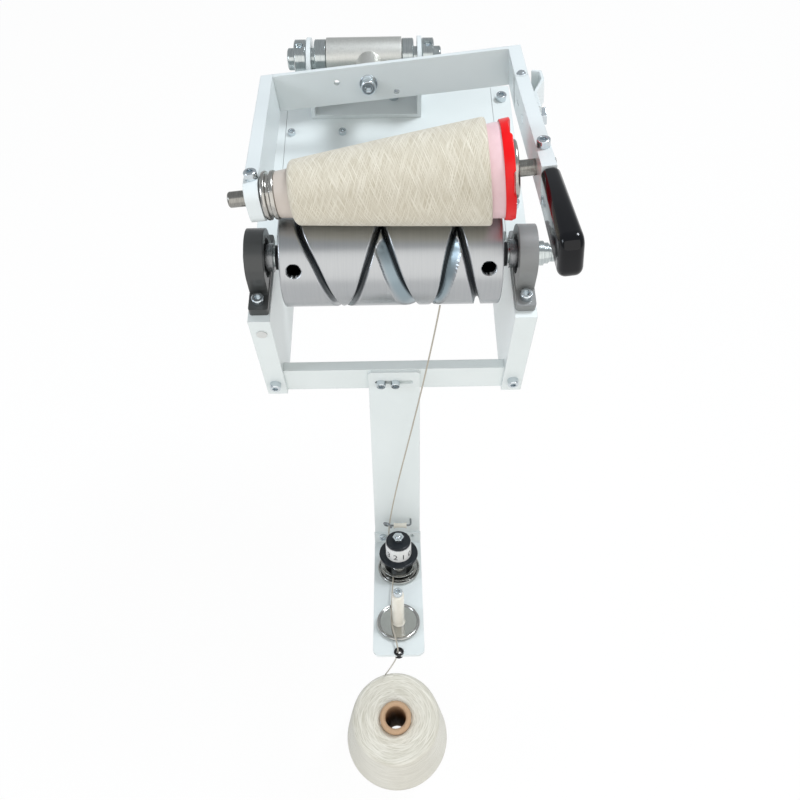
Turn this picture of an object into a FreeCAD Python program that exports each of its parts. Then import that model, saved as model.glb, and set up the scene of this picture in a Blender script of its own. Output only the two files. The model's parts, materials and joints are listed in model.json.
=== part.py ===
"""Yarn cone winder: a drum winding head with its swing cradle, tensioner and supply package.

Row frame, millimetres, +Z up: the origin is the centre of the four mounting holes in the frame's
underside, +X runs along the drum towards the lever, and the yarn comes in from -Y.
"""
import FreeCAD
import Part
import math
import os
import re
from types import SimpleNamespace

import Sketcher

Vector = FreeCAD.Vector
Rotation = FreeCAD.Rotation
Placement = FreeCAD.Placement

# The driving dimensions, in millimetres and degrees.
SIZES = {
    # Frame: two side plates bent from sheet, tied by a front angle and two flat bars.
    "frame_width": 234.0, "frame_length": 281.0, "frame_height": 113.0,
    "sheet_wall": 3.0, "flange_width": 18.0,
    "front_bar_foot": 2.3, "front_bar_height": 31.7, "front_bar_depth": 9.0,
    "tie_bar_width": 24.0, "tie_bar_wall": 6.0, "tie_front_back": 122.0,
    "cover_back": 92.0, "cover_lip": 20.0, "cover_screw_ahead": 44.0,
    "cover_screw_left": 6.0, "cover_screw_middle": 54.0, "cover_screw_right": 47.0,
    "mount_spacing_long": 220.0, "mount_hole_bore": 6.6,
    "leg_bolt_up": 17.5, "plug_up": 96.0, "plug_width": 9.0, "plug_lip": 1.0,
    "plug_head": 1.2,
    "slip_gap": 0.3, "seat_gap": 0.05, "run_gap": 0.06,
    # Fasteners: thread sizes.
    "thread_four": 4.0, "thread_five": 5.0, "thread_six": 6.0, "thread_eight": 8.0,
    # Winding drum on its shaft, in two pillow blocks.
    "drum_width": 79.5, "drum_end_room": 8.5, "drum_offset": 2.0, "drum_back": 46.5,
    "drum_boss_width": 20.0,
    "groove_width": 3.4, "groove_flare": 7.0, "groove_depth": 9.0,
    "groove_turns": 2.5, "groove_end_room": 13.0, "drum_edge": 1.0,
    "screw_well_width": 10.6, "screw_well_inset": 11.0, "screw_well_angle": 33.0, "screw_well_floor": 4.0,
    "drum_screw_length": 7.0, "set_screw_key_depth": 2.5,
    "shaft_width": 15.0, "shaft_left_end": 119.0, "shaft_right_end": 137.0,
    "journal_width": 14.0, "journal_length": 8.5, "journal_relief_width": 13.2, "journal_relief": 1.0,
    "shaft_edge": 1.0, "drive_collar_width": 20.0, "drive_collar_length": 9.0, "drive_collar_step": 5.0,
    "drive_collar_drop": 1.5, "drive_collar_gap": 1.5,
    "block_axis_height": 24.0, "block_base_length": 80.0, "block_base_width": 16.0,
    "block_base_wall": 7.0, "block_ring_width": 47.0, "block_ring_length": 15.0, "block_bolt_spacing": 63.0,
    "block_corner": 2.5,
    "bearing_width": 32.0, "bearing_length": 11.0, "inner_ring_width": 23.0, "inner_ring_reach": 6.0,
    # Rear pivot of the cradle.
    "bracket_offset": -22.5, "bracket_width": 104.5, "bracket_wall": 4.0, "bracket_depth": 48.0,
    "ear_height": 64.0, "ear_flat": 4.0, "pivot_back": 262.0, "pivot_height": 48.0,
    "pivot_shaft_width": 19.0, "pivot_shaft_length": 140.0,
    "pivot_collar_width": 33.0, "pivot_collar_length": 10.7, "collar_screw_width": 6.5,
    "collar_screw_angle": 80.0, "collar_edge": 0.8, "collar_screw_length": 4.5,
    "sleeve_width": 35.5, "sleeve_length": 68.0, "sleeve_boss_width": 24.0,
    "yoke_washer_width": 16.0, "yoke_washer_wall": 1.6, "yoke_bolt_bite": 24.0,
    # Cradle: crossbar, left arm, right arm and the spindles.
    "cradle_offset": -18.0, "crossbar_reach": 45.5, "crossbar_wall": 5.0, "arm_height": 32.0,
    "arm_width": 10.8, "left_arm_inside": 76.5, "left_arm_splay": 5.8, "lever_room": 10.5,
    "lever_angle": 1.3, "spindle_reach": 211.8, "arm_round": 11.0, "arm_wall": 3.0,
    "spindle_width": 12.0, "spindle_overhang": 16.0, "spindle_edge": 1.0, "spindle_proud": 4.0,
    "spindle_neck_width": 7.0,
    "left_hole_side": 27.5, "left_hole_up": 4.0, "right_hole_side": 23.5, "right_hole_down": 10.5,
    "crossbar_hole_width": 5.0, "lever_pin_reach": 97.5, "lever_pin_width": 5.0, "lever_pin_head": 1.6,
    "lever_heel": 8.0, "lug_gap": 0.4,
    "guard_bolt_reach": 43.5, "guard_wall": 2.5, "guard_height": 20.0, "guard_spread": 11.5,
    "guard_flat": 12.0, "guard_run": 32.0, "guard_back": 2.0, "guard_curl": 6.5, "guard_curl_back": 5.0,
    "guard_round": 3.0, "guard_up": 5.0,
    "lever_slot_reach": 24.0, "lever_slot_length": 9.0, "lever_slot_width": 2.4,
    "tang_height": 22.0, "tang_wall": 5.0, "tang_length": 58.0,
    "grip_room": 26.17, "grip_length": 85.0, "grip_neck_width": 13.6, "grip_end_width": 16.8,
    "grip_height": 33.6, "grip_round": 4.5, "grip_slope": 6.0,
    # Cone: tube of 5 degrees 57 minutes, its chucks and the wound yarn.
    "tube_length": 170.5, "tube_nose_width": 34.0, "tube_base_width": 69.4, "tube_wall": 1.8,
    "yarn_build": 5.8, "yarn_left_inset": 10.5, "yarn_right_inset": 14.5, "yarn_edge": 3.0,
    "cap_skirt": 5.0, "cap_rim_wall": 1.3, "cap_end_wall": 2.5, "cap_bore": 34.0, "drum_clearance": 0.3,
    "chuck_width": 36.0, "chuck_length": 10.4, "chuck_groove_depth": 2.5, "chuck_groove_width": 3.0,
    "chuck_gap": 0.7, "plug_depth": 12.0, "disc_width": 42.0, "disc_wall": 4.0, "base_plug_depth": 6.0,
    "base_plug_width": 31.0, "base_plug_taper": 2.5,
    # Feed plate hung on the front bar, and the tensioner shelf at its foot.
    "feed_width": 47.0, "feed_head": 25.0, "feed_kink_up": 8.0, "feed_angle": 24.0, "feed_length": 200.0,
    "feed_round": 4.0, "feed_slot_length": 34.6, "feed_slot_width": 5.4, "feed_slot_up": 8.6,
    "feed_bolt_left": 12.0, "feed_bolt_right": 1.0,
    "shelf_width": 48.5, "shelf_length": 138.0, "shelf_angle": 20.0, "shelf_wall": 2.5, "shelf_lip": 13.5,
    "shelf_round": 7.0, "shelf_screw_side": 15.4, "shelf_screw_up": 9.5, "eyelet_inset": 3.5,
    "tensioner_reach": 38.0, "tensioner_side": 1.0, "post_reach": 103.5,
    "saucer_width": 41.5, "saucer_wall": 5.0, "saucer_face_width": 36.0,
    "saucer_sink": 1.0, "post_width": 11.6, "post_height": 45.0, "post_foot": 2.5, "post_edge": 1.0,
    "cup_width": 42.5, "cup_height": 4.6, "cup_wall": 1.6, "cup_hub_width": 16.0, "cup_hub_height": 2.9,
    "stud_width": 6.0, "stud_foot": 6.0, "stud_proud": 7.0,
    "disc_pair_width": 37.0, "disc_pair_wall": 1.2, "disc_pair_gap": 2.4, "disc_pair_flare": 3.0,
    "disc_pair_lip": 4.0, "disc_hub_height": 3.0,
    "knob_width": 39.0, "knob_wall": 2.5, "knob_up": 24.5, "band_width": 25.6, "band_length": 16.0,
    "cap_wall": 3.0, "cap_width": 24.6, "dial_edge": 0.8, "dial_skin": 1.5,
    "spring_width": 15.0, "spring_wire": 1.6, "spring_turns": 6.0,
    "eyelet_width": 9.4, "eyelet_neck_width": 7.6, "eyelet_bore": 4.6, "eyelet_length": 5.7,
    "eyelet_flange": 1.6,
    "hook_wire": 2.0, "hook_bend": 3.0, "guide_width": 6.4, "guide_waist": 4.6, "guide_length": 13.4,
    "guide_up": 31.5, "guide_out": 9.0, "guide_side": 3.0, "hook_reach": 8.5,
    "curl_side": 2.0, "curl_height": 8.0, "curl_rise": 1.9, "curl_mouth": 6.0,
    # Supply package standing below the head.
    "supply_offset": -6.0, "supply_front": 236.0, "supply_base_down": 487.0, "supply_height": 150.0,
    "supply_base_width": 130.0, "supply_top_width": 102.0, "supply_tube_width": 36.0,
    "supply_tube_bore": 24.0, "supply_tube_rise": 9.0, "supply_yarn_bore": 36.6, "supply_edge": 4.0,
    "supply_tube_edge": 2.0,
    # Yarn.
    "yarn_width": 1.4,
}

# Metric proportions: head and nut widths over thread size, hex key width and nut height.
HEAD_GROWTH = 1.5
HEAD_EXTRA = 1.0
KEY_SHARE = 0.8
NUT_SHARE = 0.8
HEX_HEAD_SHARE = 0.65
HEAD_EDGE_SHARE = 0.1
SET_KEY_SHARE = 0.27
# The share of a bend's shorter run that its arc may take.
BEND_SHARE = 0.45
HEX_CORNER = 1 / math.sqrt(3)

size = SimpleNamespace(**SIZES)
doc = FreeCAD.newDocument("YarnConeWinder")
sheet = doc.addObject("Spreadsheet::Sheet", "Sizes")
for row, (alias, number) in enumerate(SIZES.items(), 1):
    sheet.set(f"A{row}", alias)
    sheet.set(f"B{row}", str(number))
    sheet.setAlias(f"B{row}", alias)
doc.recompute()

nodes = {}


# ---------------------------------------------------------------- small builders
def bound(formula):
    """The formula with each named size read from the sheet."""
    def read(word):
        return "Sizes." + word.group() if word.group() in SIZES else word.group()
    return re.sub(r"\b[a-z]\w*\b", read, str(formula))


def bind(thing, **formulas):
    """Bind an object's properties to the sheet."""
    for name, formula in formulas.items():
        thing.setExpression(name.replace("__", "."), bound(formula))
    return thing


def at(x=0.0, y=0.0, z=0.0, turn=None):
    return Placement(Vector(x, y, z), turn or Rotation())


def towards(x, y, z):
    """The turn that carries a piece's own +Z onto this direction."""
    return Rotation(Vector(0, 0, 1), Vector(x, y, z))


ALONG_X = Rotation(Vector(0, 1, 0), 90)
ALONG_MINUS_X = Rotation(Vector(0, 1, 0), -90)
FORWARD = Rotation(Vector(1, 0, 0), 90)


def node(name, thing, place=None):
    """Give the finished sub-part its label and place."""
    thing.Label = name
    if place is not None:
        thing.Placement = place
    nodes[name] = thing
    return thing


def sketch_on(body, role, name):
    """An empty sketch on one of the body's own origin planes."""
    sketch = body.newObject("Sketcher::SketchObject", name)
    plane = next(item for item in body.Origin.OriginFeatures if item.Role == role)
    sketch.AttachmentSupport = [(plane, "")]
    sketch.MapMode = "FlatFace"
    return sketch


def polygon(sketch, corners):
    """A closed outline whose corners are all dimensioned from the sketch's origin."""
    first = sketch.GeometryCount
    count = len(corners)
    start = [Vector(i + 1, (i + 1) ** 2, 0) for i in range(count)]
    for i in range(count):
        sketch.addGeometry(Part.LineSegment(start[i], start[(i + 1) % count]), False)
    for i in range(count):
        sketch.addConstraint(Sketcher.Constraint("Coincident", first + i, 2, first + (i + 1) % count, 1))
    for i, corner in enumerate(corners):
        for kind, formula in zip(("DistanceX", "DistanceY"), corner):
            index = sketch.addConstraint(Sketcher.Constraint(kind, -1, 1, first + i, 1, 1.0))
            sketch.setExpression(f"Constraints[{index}]", bound(formula))
    return sketch


def ring(sketch, across, up, radius):
    """A circle dimensioned from the sketch's origin."""
    index = sketch.addGeometry(Part.Circle(Vector(1, 1, 0), Vector(0, 0, 1), 1), False)
    for kind, formula in (("DistanceX", across), ("DistanceY", up)):
        dimension = sketch.addConstraint(Sketcher.Constraint(kind, -1, 1, index, 3, 1.0))
        sketch.setExpression(f"Constraints[{dimension}]", bound(formula))
    dimension = sketch.addConstraint(Sketcher.Constraint("Radius", index, 1.0))
    sketch.setExpression(f"Constraints[{dimension}]", bound(radius))
    return sketch


def new_body(name):
    return doc.addObject("PartDesign::Body", name)


def pad(body, sketch, length, midplane=False, backwards=False):
    feature = body.newObject("PartDesign::Pad", sketch.Name + "_pad")
    feature.Profile = sketch
    feature.SideType = "Symmetric" if midplane else "One side"
    feature.Reversed = backwards
    bind(feature, Length=length)
    return feature


def pocket(body, sketch, length, midplane=False, backwards=False):
    feature = body.newObject("PartDesign::Pocket", sketch.Name + "_pocket")
    feature.Profile = sketch
    feature.SideType = "Symmetric" if midplane else "One side"
    feature.Reversed = backwards
    bind(feature, Length=length)
    return feature


def turned(name, outline):
    """A body of revolution about its own Z: the outline lists (radius, height) corners."""
    body = new_body(name)
    sketch = polygon(sketch_on(body, "XZ_Plane", name + "_outline"), outline)
    feature = body.newObject("PartDesign::Revolution", name + "_turn")
    feature.Profile = sketch
    feature.ReferenceAxis = (sketch, ["V_Axis"])
    feature.Angle = 360
    return body


def rounded(body, feature, radius, pick):
    """Fillet the edges of the feature that pick() accepts."""
    doc.recompute()
    edges = [f"Edge{i}" for i, edge in enumerate(feature.Shape.Edges, 1) if pick(edge)]
    fillet = body.newObject("PartDesign::Fillet", feature.Name + "_round")
    fillet.Base = (feature, edges)
    bind(fillet, Radius=radius)
    return fillet


def upright(edge, axis):
    """True for a straight edge along the axis (0, 1 or 2)."""
    if edge.Curve.TypeId != "Part::GeomLine":
        return False
    return abs(abs(edge.Curve.Direction[axis]) - 1) < 1e-6


def rod(name, radius, height, place=None):
    """A plain cylinder from z = 0 upwards."""
    thing = bind(doc.addObject("Part::Cylinder", name), Radius=radius, Height=height)
    thing.Placement = place or Placement()
    return thing


def block(name, across, deep, tall, place=None):
    """A box from its low corner."""
    thing = bind(doc.addObject("Part::Box", name), Length=across, Width=deep, Height=tall)
    thing.Placement = place or Placement()
    return thing


def cut(name, base, *tools):
    tool = tools[0]
    if len(tools) > 1:
        tool = fuse(name + "_tools", *tools)
    thing = doc.addObject("Part::Cut", name)
    thing.Base = base
    thing.Tool = tool
    return thing


def fuse(name, *pieces):
    thing = doc.addObject("Part::MultiFuse", name)
    thing.Shapes = list(pieces)
    return thing


def group(name, *pieces):
    """Separate solids kept as one node."""
    thing = doc.addObject("Part::Compound", name)
    thing.Links = list(pieces)
    return thing


def tube(name, radius, bore, length, place=None):
    """A plain ring or sleeve from z = 0 upwards."""
    thing = turned(name, [(bore, 0), (radius, 0), (radius, length), (bore, length)])
    thing.Placement = place or Placement()
    return thing


def head_radius(thread):
    return f"({HEAD_GROWTH} * {thread} + {HEAD_EXTRA}) / 2"


def socket_screw(name, thread, length, place):
    """A socket head cap screw whose head sits on local z = 0."""
    edge = f"{HEAD_EDGE_SHARE} * {thread}"
    shank = f"{thread} / 2 - seat_gap"
    head = head_radius(thread)
    outline = [(0, f"-({length})"), (shank, f"-({length})"), (shank, 0), (head, 0),
               (head, f"{thread} - {edge}"), (f"{head} - {edge}", thread), (0, thread)]
    key = doc.addObject("Part::Prism", name + "_key")
    key.Polygon = 6
    bind(key, Circumradius=f"{KEY_SHARE * HEX_CORNER} * {thread}", Height=thread,
         Placement__Base__z=f"{thread} / 2")
    screw = cut(name, turned(name + "_blank", outline), key)
    screw.Placement = place
    return screw


def set_screw(name, thread, length, start):
    """A headless screw from local z = 0 outwards, with its key hole at the far end."""
    wide, key = f"{thread} / 2 - seat_gap", f"{SET_KEY_SHARE} * {thread}"
    bottom = f"{length} - set_screw_key_depth"
    screw = turned(name, [(0, 0), (wide, 0), (wide, length), (key, length), (key, bottom), (0, bottom)])
    screw.Placement = start
    return screw


def hex_bolt(name, thread, length, place):
    """A hexagon head bolt whose head sits on local z = 0."""
    head = doc.addObject("Part::Prism", name + "_head")
    head.Polygon = 6
    bind(head, Circumradius=f"2 * {HEX_CORNER} * {head_radius(thread)}",
         Height=f"{HEX_HEAD_SHARE} * {thread}")
    shank = rod(name + "_shank", f"{thread} / 2 - seat_gap", f"{length} + {thread} / 2")
    bind(shank, Placement__Base__z=f"-({length})")
    bolt = fuse(name, head, shank)
    bolt.Placement = place
    return bolt


def hex_nut(name, thread, place):
    """A hexagon nut whose face sits on local z = 0."""
    blank = doc.addObject("Part::Prism", name + "_blank")
    blank.Polygon = 6
    bind(blank, Circumradius=f"2 * {HEX_CORNER} * {head_radius(thread)}", Height=f"{NUT_SHARE} * {thread}")
    bore = rod(name + "_bore", f"{thread} / 2 + seat_gap", f"2 * {thread}")
    bind(bore, Placement__Base__z=f"-{thread} / 2")
    nut = cut(name, blank, bore)
    nut.Placement = place
    return nut


def drill(name, thread, depth, place):
    """A clearance hole's tool."""
    return rod(name, f"{thread} / 2 + seat_gap", depth, place)


# ---------------------------------------------------------------- places that everything shares
front = -size.frame_length / 2
deck = size.frame_height
side_mid = size.frame_width / 2 - size.flange_width / 2
inner_face = size.frame_width / 2 - size.flange_width
mount_side = (inner_face + size.sheet_wall + size.frame_width / 2) / 2
drum_x = size.drum_offset
drum_y = front + size.drum_back
drum_z = deck + size.block_axis_height
drum_radius = size.drum_width / 2
pivot_y = front + size.pivot_back
pivot_z = deck + size.pivot_height
block_room = size.block_ring_length / 2 + size.inner_ring_reach + size.drum_end_room
drum_length = 2 * (side_mid - block_room)
taper = math.atan((size.tube_base_width - size.tube_nose_width) / 2 / size.tube_length)
nose_u = -size.left_arm_inside + size.chuck_gap + size.chuck_length
SIDES = (("left", -1), ("right", 1))

# The same lengths as formulas for the sheet.
DRUM_LENGTH = ("(frame_width - flange_width - block_ring_length - 2 * inner_ring_reach"
               " - 2 * drum_end_room)")
NOSE = "(chuck_gap + chuck_length - left_arm_inside)"
RIGHT_INSIDE = f"({NOSE} + tube_length + cap_end_wall + slip_gap + disc_wall + lever_room)"
right_inside = nose_u + size.tube_length + size.cap_end_wall
right_inside = right_inside + size.slip_gap + size.disc_wall + size.lever_room


def cradle_rise():
    """The cradle's slope, in degrees, at which the wound cone rests on the drum."""
    middle = -size.cradle_offset / math.cos(taper)
    wound = size.tube_nose_width / 2 + (middle - nose_u) * math.tan(taper) + size.yarn_build
    reach = drum_radius + size.drum_clearance + wound * math.cos(taper)
    lift = middle * math.sin(taper)
    arm = math.hypot(size.spindle_reach, lift)
    base = math.hypot(pivot_y - drum_y, pivot_z - drum_z)
    drop = math.atan2(pivot_z - drum_z, pivot_y - drum_y)
    opening = math.acos((arm ** 2 + base ** 2 - reach ** 2) / (2 * arm * base))
    return math.degrees(opening - math.atan2(lift, size.spindle_reach) - drop)


rise = cradle_rise()
LEVEL = Placement(Vector(size.cradle_offset, pivot_y, pivot_z), Rotation(Vector(1, 0, 0), -rise))
CRADLE = LEVEL * Placement(Vector(), Rotation(Vector(0, 1, 0), -math.degrees(taper)))


def on_cradle(along=0.0, ahead=0.0, up=0.0, turn=None):
    """A place in the cradle: along the crossbar, ahead of the pivot shaft, and up from its plane."""
    return CRADLE * Placement(Vector(along, -ahead, up), turn or Rotation())


# ---------------------------------------------------------------- frame
def side_plate(side, sign):
    """One side of the frame: a channel bent outwards, with a front leg flange."""
    name = "side_plate_" + side
    inner, outer = "frame_width / 2 - flange_width", "frame_width / 2"
    section = [(inner, 0), (outer, 0), (outer, "sheet_wall"), (f"{inner} + sheet_wall", "sheet_wall"),
               (f"{inner} + sheet_wall", "frame_height - sheet_wall"), (outer, "frame_height - sheet_wall"),
               (outer, "frame_height"), (inner, "frame_height")]
    leg = [(inner, 0), (outer, 0), (outer, "frame_height"), (inner, "frame_height")]
    body = new_body(name + "_body")
    for label, outline, length in (("channel", section, "frame_length"), ("leg", leg, "sheet_wall")):
        outline = [(f"{sign} * ({x})", z) for x, z in outline]
        pad(body, polygon(sketch_on(body, "XZ_Plane", f"{name}_{label}"), outline), length, backwards=True)
    notches = sketch_on(body, "YZ_Plane", name + "_notches")
    low, high = "front_bar_foot - slip_gap", "front_bar_foot + front_bar_height + slip_gap"
    back = "sheet_wall + front_bar_depth + slip_gap"
    polygon(notches, [("sheet_wall", low), (back, low), (back, high), ("sheet_wall", high)])
    under = "frame_height - sheet_wall"
    for back in ("tie_front_back", "pivot_back"):
        near, far = f"{back} - tie_bar_width / 2 - slip_gap", f"{back} + tie_bar_width / 2 + slip_gap"
        bottom = f"{under} - tie_bar_wall - slip_gap"
        polygon(notches, [(near, bottom), (far, bottom), (far, under), (near, under)])
    pocket(body, notches, "2 * frame_width", midplane=True)
    body.Placement = at(0, front, 0)
    half_long = size.mount_spacing_long / 2
    holes = []
    for i, y in enumerate((-half_long, half_long)):
        holes.append(rod(f"{name}_mount_hole{i}", "mount_hole_bore / 2", "3 * sheet_wall",
                         at(sign * mount_side, y, -size.sheet_wall)))
    for i, y in enumerate((-size.block_bolt_spacing / 2, size.block_bolt_spacing / 2)):
        holes.append(drill(f"{name}_block_hole{i}", "thread_six", "3 * sheet_wall",
                           at(sign * side_mid, drum_y + y, deck - 2 * size.sheet_wall)))
    for i, y in enumerate((size.tie_front_back, size.pivot_back)):
        holes.append(drill(f"{name}_tie_hole{i}", "thread_six", "3 * sheet_wall",
                           at(sign * side_mid, front + y, deck - 2 * size.sheet_wall)))
    holes.append(drill(name + "_leg_hole", "thread_six", "3 * sheet_wall",
                       at(sign * side_mid, front + 2 * size.sheet_wall, size.leg_bolt_up, FORWARD)))
    if sign < 0:
        holes.append(rod(name + "_plug_hole", "plug_width / 2 - plug_lip", "3 * sheet_wall",
                         at(-side_mid, front + 2 * size.sheet_wall, size.plug_up, FORWARD)))
    node(name, cut(name, body, *holes))


def front_bar():
    """The angle that ties the two legs; the feed plate hangs on its face."""
    body = new_body("front_bar_body")
    low, high = "front_bar_foot", "front_bar_foot + front_bar_height"
    back, under = "sheet_wall + front_bar_depth", f"{high} - sheet_wall"
    section = [("sheet_wall", low), ("2 * sheet_wall", low), ("2 * sheet_wall", under), (back, under),
               (back, high), ("sheet_wall", high)]
    pad(body, polygon(sketch_on(body, "YZ_Plane", "front_bar_section"), section),
        "frame_width - 2 * sheet_wall", midplane=True)
    body.Placement = at(0, front, 0)
    face = front + 3 * size.sheet_wall
    holes = [drill(f"front_bar_hole{i}", "thread_six", "3 * sheet_wall",
                   at(x, face, size.leg_bolt_up, FORWARD)) for i, x in enumerate((-side_mid, side_mid))]
    up = size.feed_kink_up + size.feed_slot_up
    holes += [drill(f"front_bar_feed_hole{i}", "thread_five", "3 * sheet_wall", at(x, face, up, FORWARD))
              for i, x in enumerate((-size.feed_bolt_left, size.feed_bolt_right))]
    node("front_cross_member", cut("front_cross_member", body, *holes))


def tie_bars():
    """Two flat bars under the top flanges; the rear one lies under the pivot bracket."""
    bars = []
    for i, back in enumerate((size.tie_front_back, size.pivot_back)):
        low = deck - size.sheet_wall - size.tie_bar_wall
        bar = block(f"tie_bar_blank{i}", "frame_width - 2 * slip_gap", "tie_bar_width", "tie_bar_wall",
                    at(size.slip_gap - size.frame_width / 2, front + back - size.tie_bar_width / 2, low))
        holes = [drill(f"tie_bar_hole{i}_{side}", "thread_six", "3 * tie_bar_wall",
                       at(sign * side_mid, front + back, low - size.tie_bar_wall)) for side, sign in SIDES]
        if i == 1:
            holes += bracket_holes("tie_bar", low - size.tie_bar_wall, "3 * tie_bar_wall")
        bars.append(cut(f"tie_bar{i}", bar, *holes))
    node("tie_bars", group("tie_bars", *bars))


def bracket_bolt_places():
    """The two screws that hold the pivot bracket down, inside its ears."""
    side = size.bracket_width / 4
    return [(size.bracket_offset - side, pivot_y), (size.bracket_offset + side, pivot_y)]


def bracket_holes(name, low, depth):
    return [drill(f"{name}_bracket_hole{i}", "thread_six", depth, at(x, y, low))
            for i, (x, y) in enumerate(bracket_bolt_places())]


def top_cover():
    """The cover plate between the side plates, with a lip down at its front."""
    width = "frame_width - 2 * flange_width - 2 * slip_gap"
    length = "frame_length - cover_back"
    low = deck - size.sheet_wall
    x = -inner_face + size.slip_gap
    y = front + size.cover_back
    plate = block("top_cover_plate", width, length, "sheet_wall", at(x, y, low))
    lip = block("top_cover_lip", width, "sheet_wall", "cover_lip", at(x, y, deck - size.cover_lip))
    holes = bracket_holes("top_cover", low - size.sheet_wall, "3 * sheet_wall")
    holes += [drill(f"top_cover_screw_hole{i}", "thread_four", "3 * sheet_wall",
                    at(x, y, low - size.sheet_wall)) for i, (x, y) in enumerate(cover_screw_places())]
    node("top_cover", cut("top_cover", fuse("top_cover_blank", plate, lip), *holes))


def cover_screw_places():
    """The three small screws across the cover, ahead of the pivot bracket."""
    row = pivot_y - size.cover_screw_ahead
    return [(size.cover_screw_left - inner_face, row), (size.cover_screw_middle - inner_face, row),
            (inner_face - size.cover_screw_right, row)]


def frame_screws():
    """The screws of the frame, grouped by what they hold."""
    screws = []
    for side, sign in SIDES:
        x = sign * side_mid
        bar_back = front + 2 * size.sheet_wall
        screws.append(socket_screw(f"leg_screw_{side}", "thread_six", "3 * sheet_wall",
                                   at(x, front, size.leg_bolt_up, FORWARD)))
        screws.append(hex_nut(f"leg_nut_{side}", "thread_six",
                              at(x, bar_back, size.leg_bolt_up, towards(0, 1, 0))))
        for i, back in enumerate((size.tie_front_back, size.pivot_back)):
            screws.append(socket_screw(f"tie_screw_{side}{i}", "thread_six", "sheet_wall + tie_bar_wall",
                                       at(x, front + back, deck)))
    node("frame_screws", group("frame_screws", *screws))
    screws = [socket_screw(f"cover_screw{i}", "thread_four", "2 * sheet_wall", at(x, y, deck))
              for i, (x, y) in enumerate(cover_screw_places())]
    node("cover_screws", group("cover_screws", *screws))
    wide, neck = "plug_width / 2", "plug_width / 2 - plug_lip - seat_gap"
    plug = turned("hole_plug", [(0, 0), (wide, 0), (wide, "plug_head"), (neck, "plug_head"),
                                (neck, "plug_head + sheet_wall"), (0, "plug_head + sheet_wall")])
    node("hole_plug", plug, at(-side_mid, front - size.plug_head, size.plug_up, towards(0, 1, 0)))


# ---------------------------------------------------------------- drum
def drum():
    """The grooved winding drum with its two hub bosses and set-screw wells."""
    half, radius, edge = f"{DRUM_LENGTH} / 2", "drum_width / 2", "drum_edge"
    bore, boss = "shaft_width / 2 + seat_gap", "drum_boss_width / 2"
    reach = f"{side_mid - size.block_ring_length / 2 - size.inner_ring_reach} - slip_gap"
    low, high = f"-({reach}) - drum_offset", f"{reach} - drum_offset"
    body = turned("drum_body", [
        (bore, low), (boss, low), (boss, f"-{half}"), (f"{radius} - {edge}", f"-{half}"),
        (radius, f"{edge} - {half}"), (radius, f"{half} - {edge}"), (f"{radius} - {edge}", half),
        (boss, half), (boss, high), (bore, high)])
    for hand, left in (("right", False), ("left", True)):
        sketch = sketch_on(body, "XZ_Plane", f"groove_{hand}")
        travel = f"({DRUM_LENGTH} - 2 * groove_end_room)"
        middle = f"-{travel} / 2"
        polygon(sketch, [(f"{radius} - groove_depth", f"{middle} - groove_width / 2"),
                         (f"{radius} - groove_depth", f"{middle} + groove_width / 2"),
                         (f"{radius} + {edge}", f"{middle} + groove_flare / 2"),
                         (f"{radius} + {edge}", f"{middle} - groove_flare / 2")])
        helix = body.newObject("PartDesign::SubtractiveHelix", f"groove_{hand}_cut")
        helix.Profile = sketch
        helix.ReferenceAxis = (sketch, ["V_Axis"])
        helix.Mode = "height-turns-angle"
        helix.LeftHanded = left
        bind(helix, Height=travel, Turns="groove_turns")
    body.Placement = at(drum_x, drum_y, drum_z, ALONG_X)
    rise_angle = math.radians(size.screw_well_angle)
    out = towards(0, -math.cos(rise_angle), math.sin(rise_angle))
    wells, screws = [], []
    for side, sign in SIDES:
        x = drum_x + sign * (drum_length / 2 - size.screw_well_inset)
        start = Placement(Vector(x, drum_y, drum_z), out)
        wells.append(rod(f"screw_well_{side}", "screw_well_width / 2", "drum_width",
                         start * at(0, 0, size.shaft_width / 2 + size.screw_well_floor)))
        wells.append(drill(f"screw_thread_{side}", "thread_eight", "drum_width", start))
        screws.append(set_screw(f"drum_set_screw_{side}", "thread_eight", "drum_screw_length",
                                start * at(0, 0, size.shaft_width / 2 + size.seat_gap)))
    node("winding_drum", cut("winding_drum", body, *wells))
    node("drum_set_screws", group("drum_set_screws", *screws))


def drum_shaft():
    """The shaft through drum and blocks, with the collar and the relieved journal at its driven end."""
    edge, radius = "shaft_edge", "shaft_width / 2"
    journal, relief = "journal_width / 2", "journal_relief_width / 2"
    start = "shaft_right_end - journal_length"
    shoulder = f"{start} - journal_relief"
    shaft = turned("drum_shaft", [
        (0, "-shaft_left_end"), (f"{radius} - {edge}", "-shaft_left_end"),
        (radius, f"{edge} - shaft_left_end"), (radius, shoulder), (relief, shoulder), (relief, start),
        (journal, start), (journal, f"shaft_right_end - {edge}"), (f"{journal} - {edge}", "shaft_right_end"),
        (0, "shaft_right_end")])
    node("drum_shaft", shaft, at(0, drum_y, drum_z, ALONG_X))
    start = side_mid + size.block_base_width / 2 + size.drive_collar_gap
    bore, wide, step = f"{radius} + seat_gap", "drive_collar_width / 2", "drive_collar_step"
    narrow = f"{wide} - drive_collar_drop"
    collar = turned("drive_collar", [
        (bore, 0), (wide, 0), (wide, step), (narrow, step), (narrow, "drive_collar_length"),
        (bore, "drive_collar_length")])
    node("drive_collar", collar, at(start, drum_y, drum_z, ALONG_X))


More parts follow.
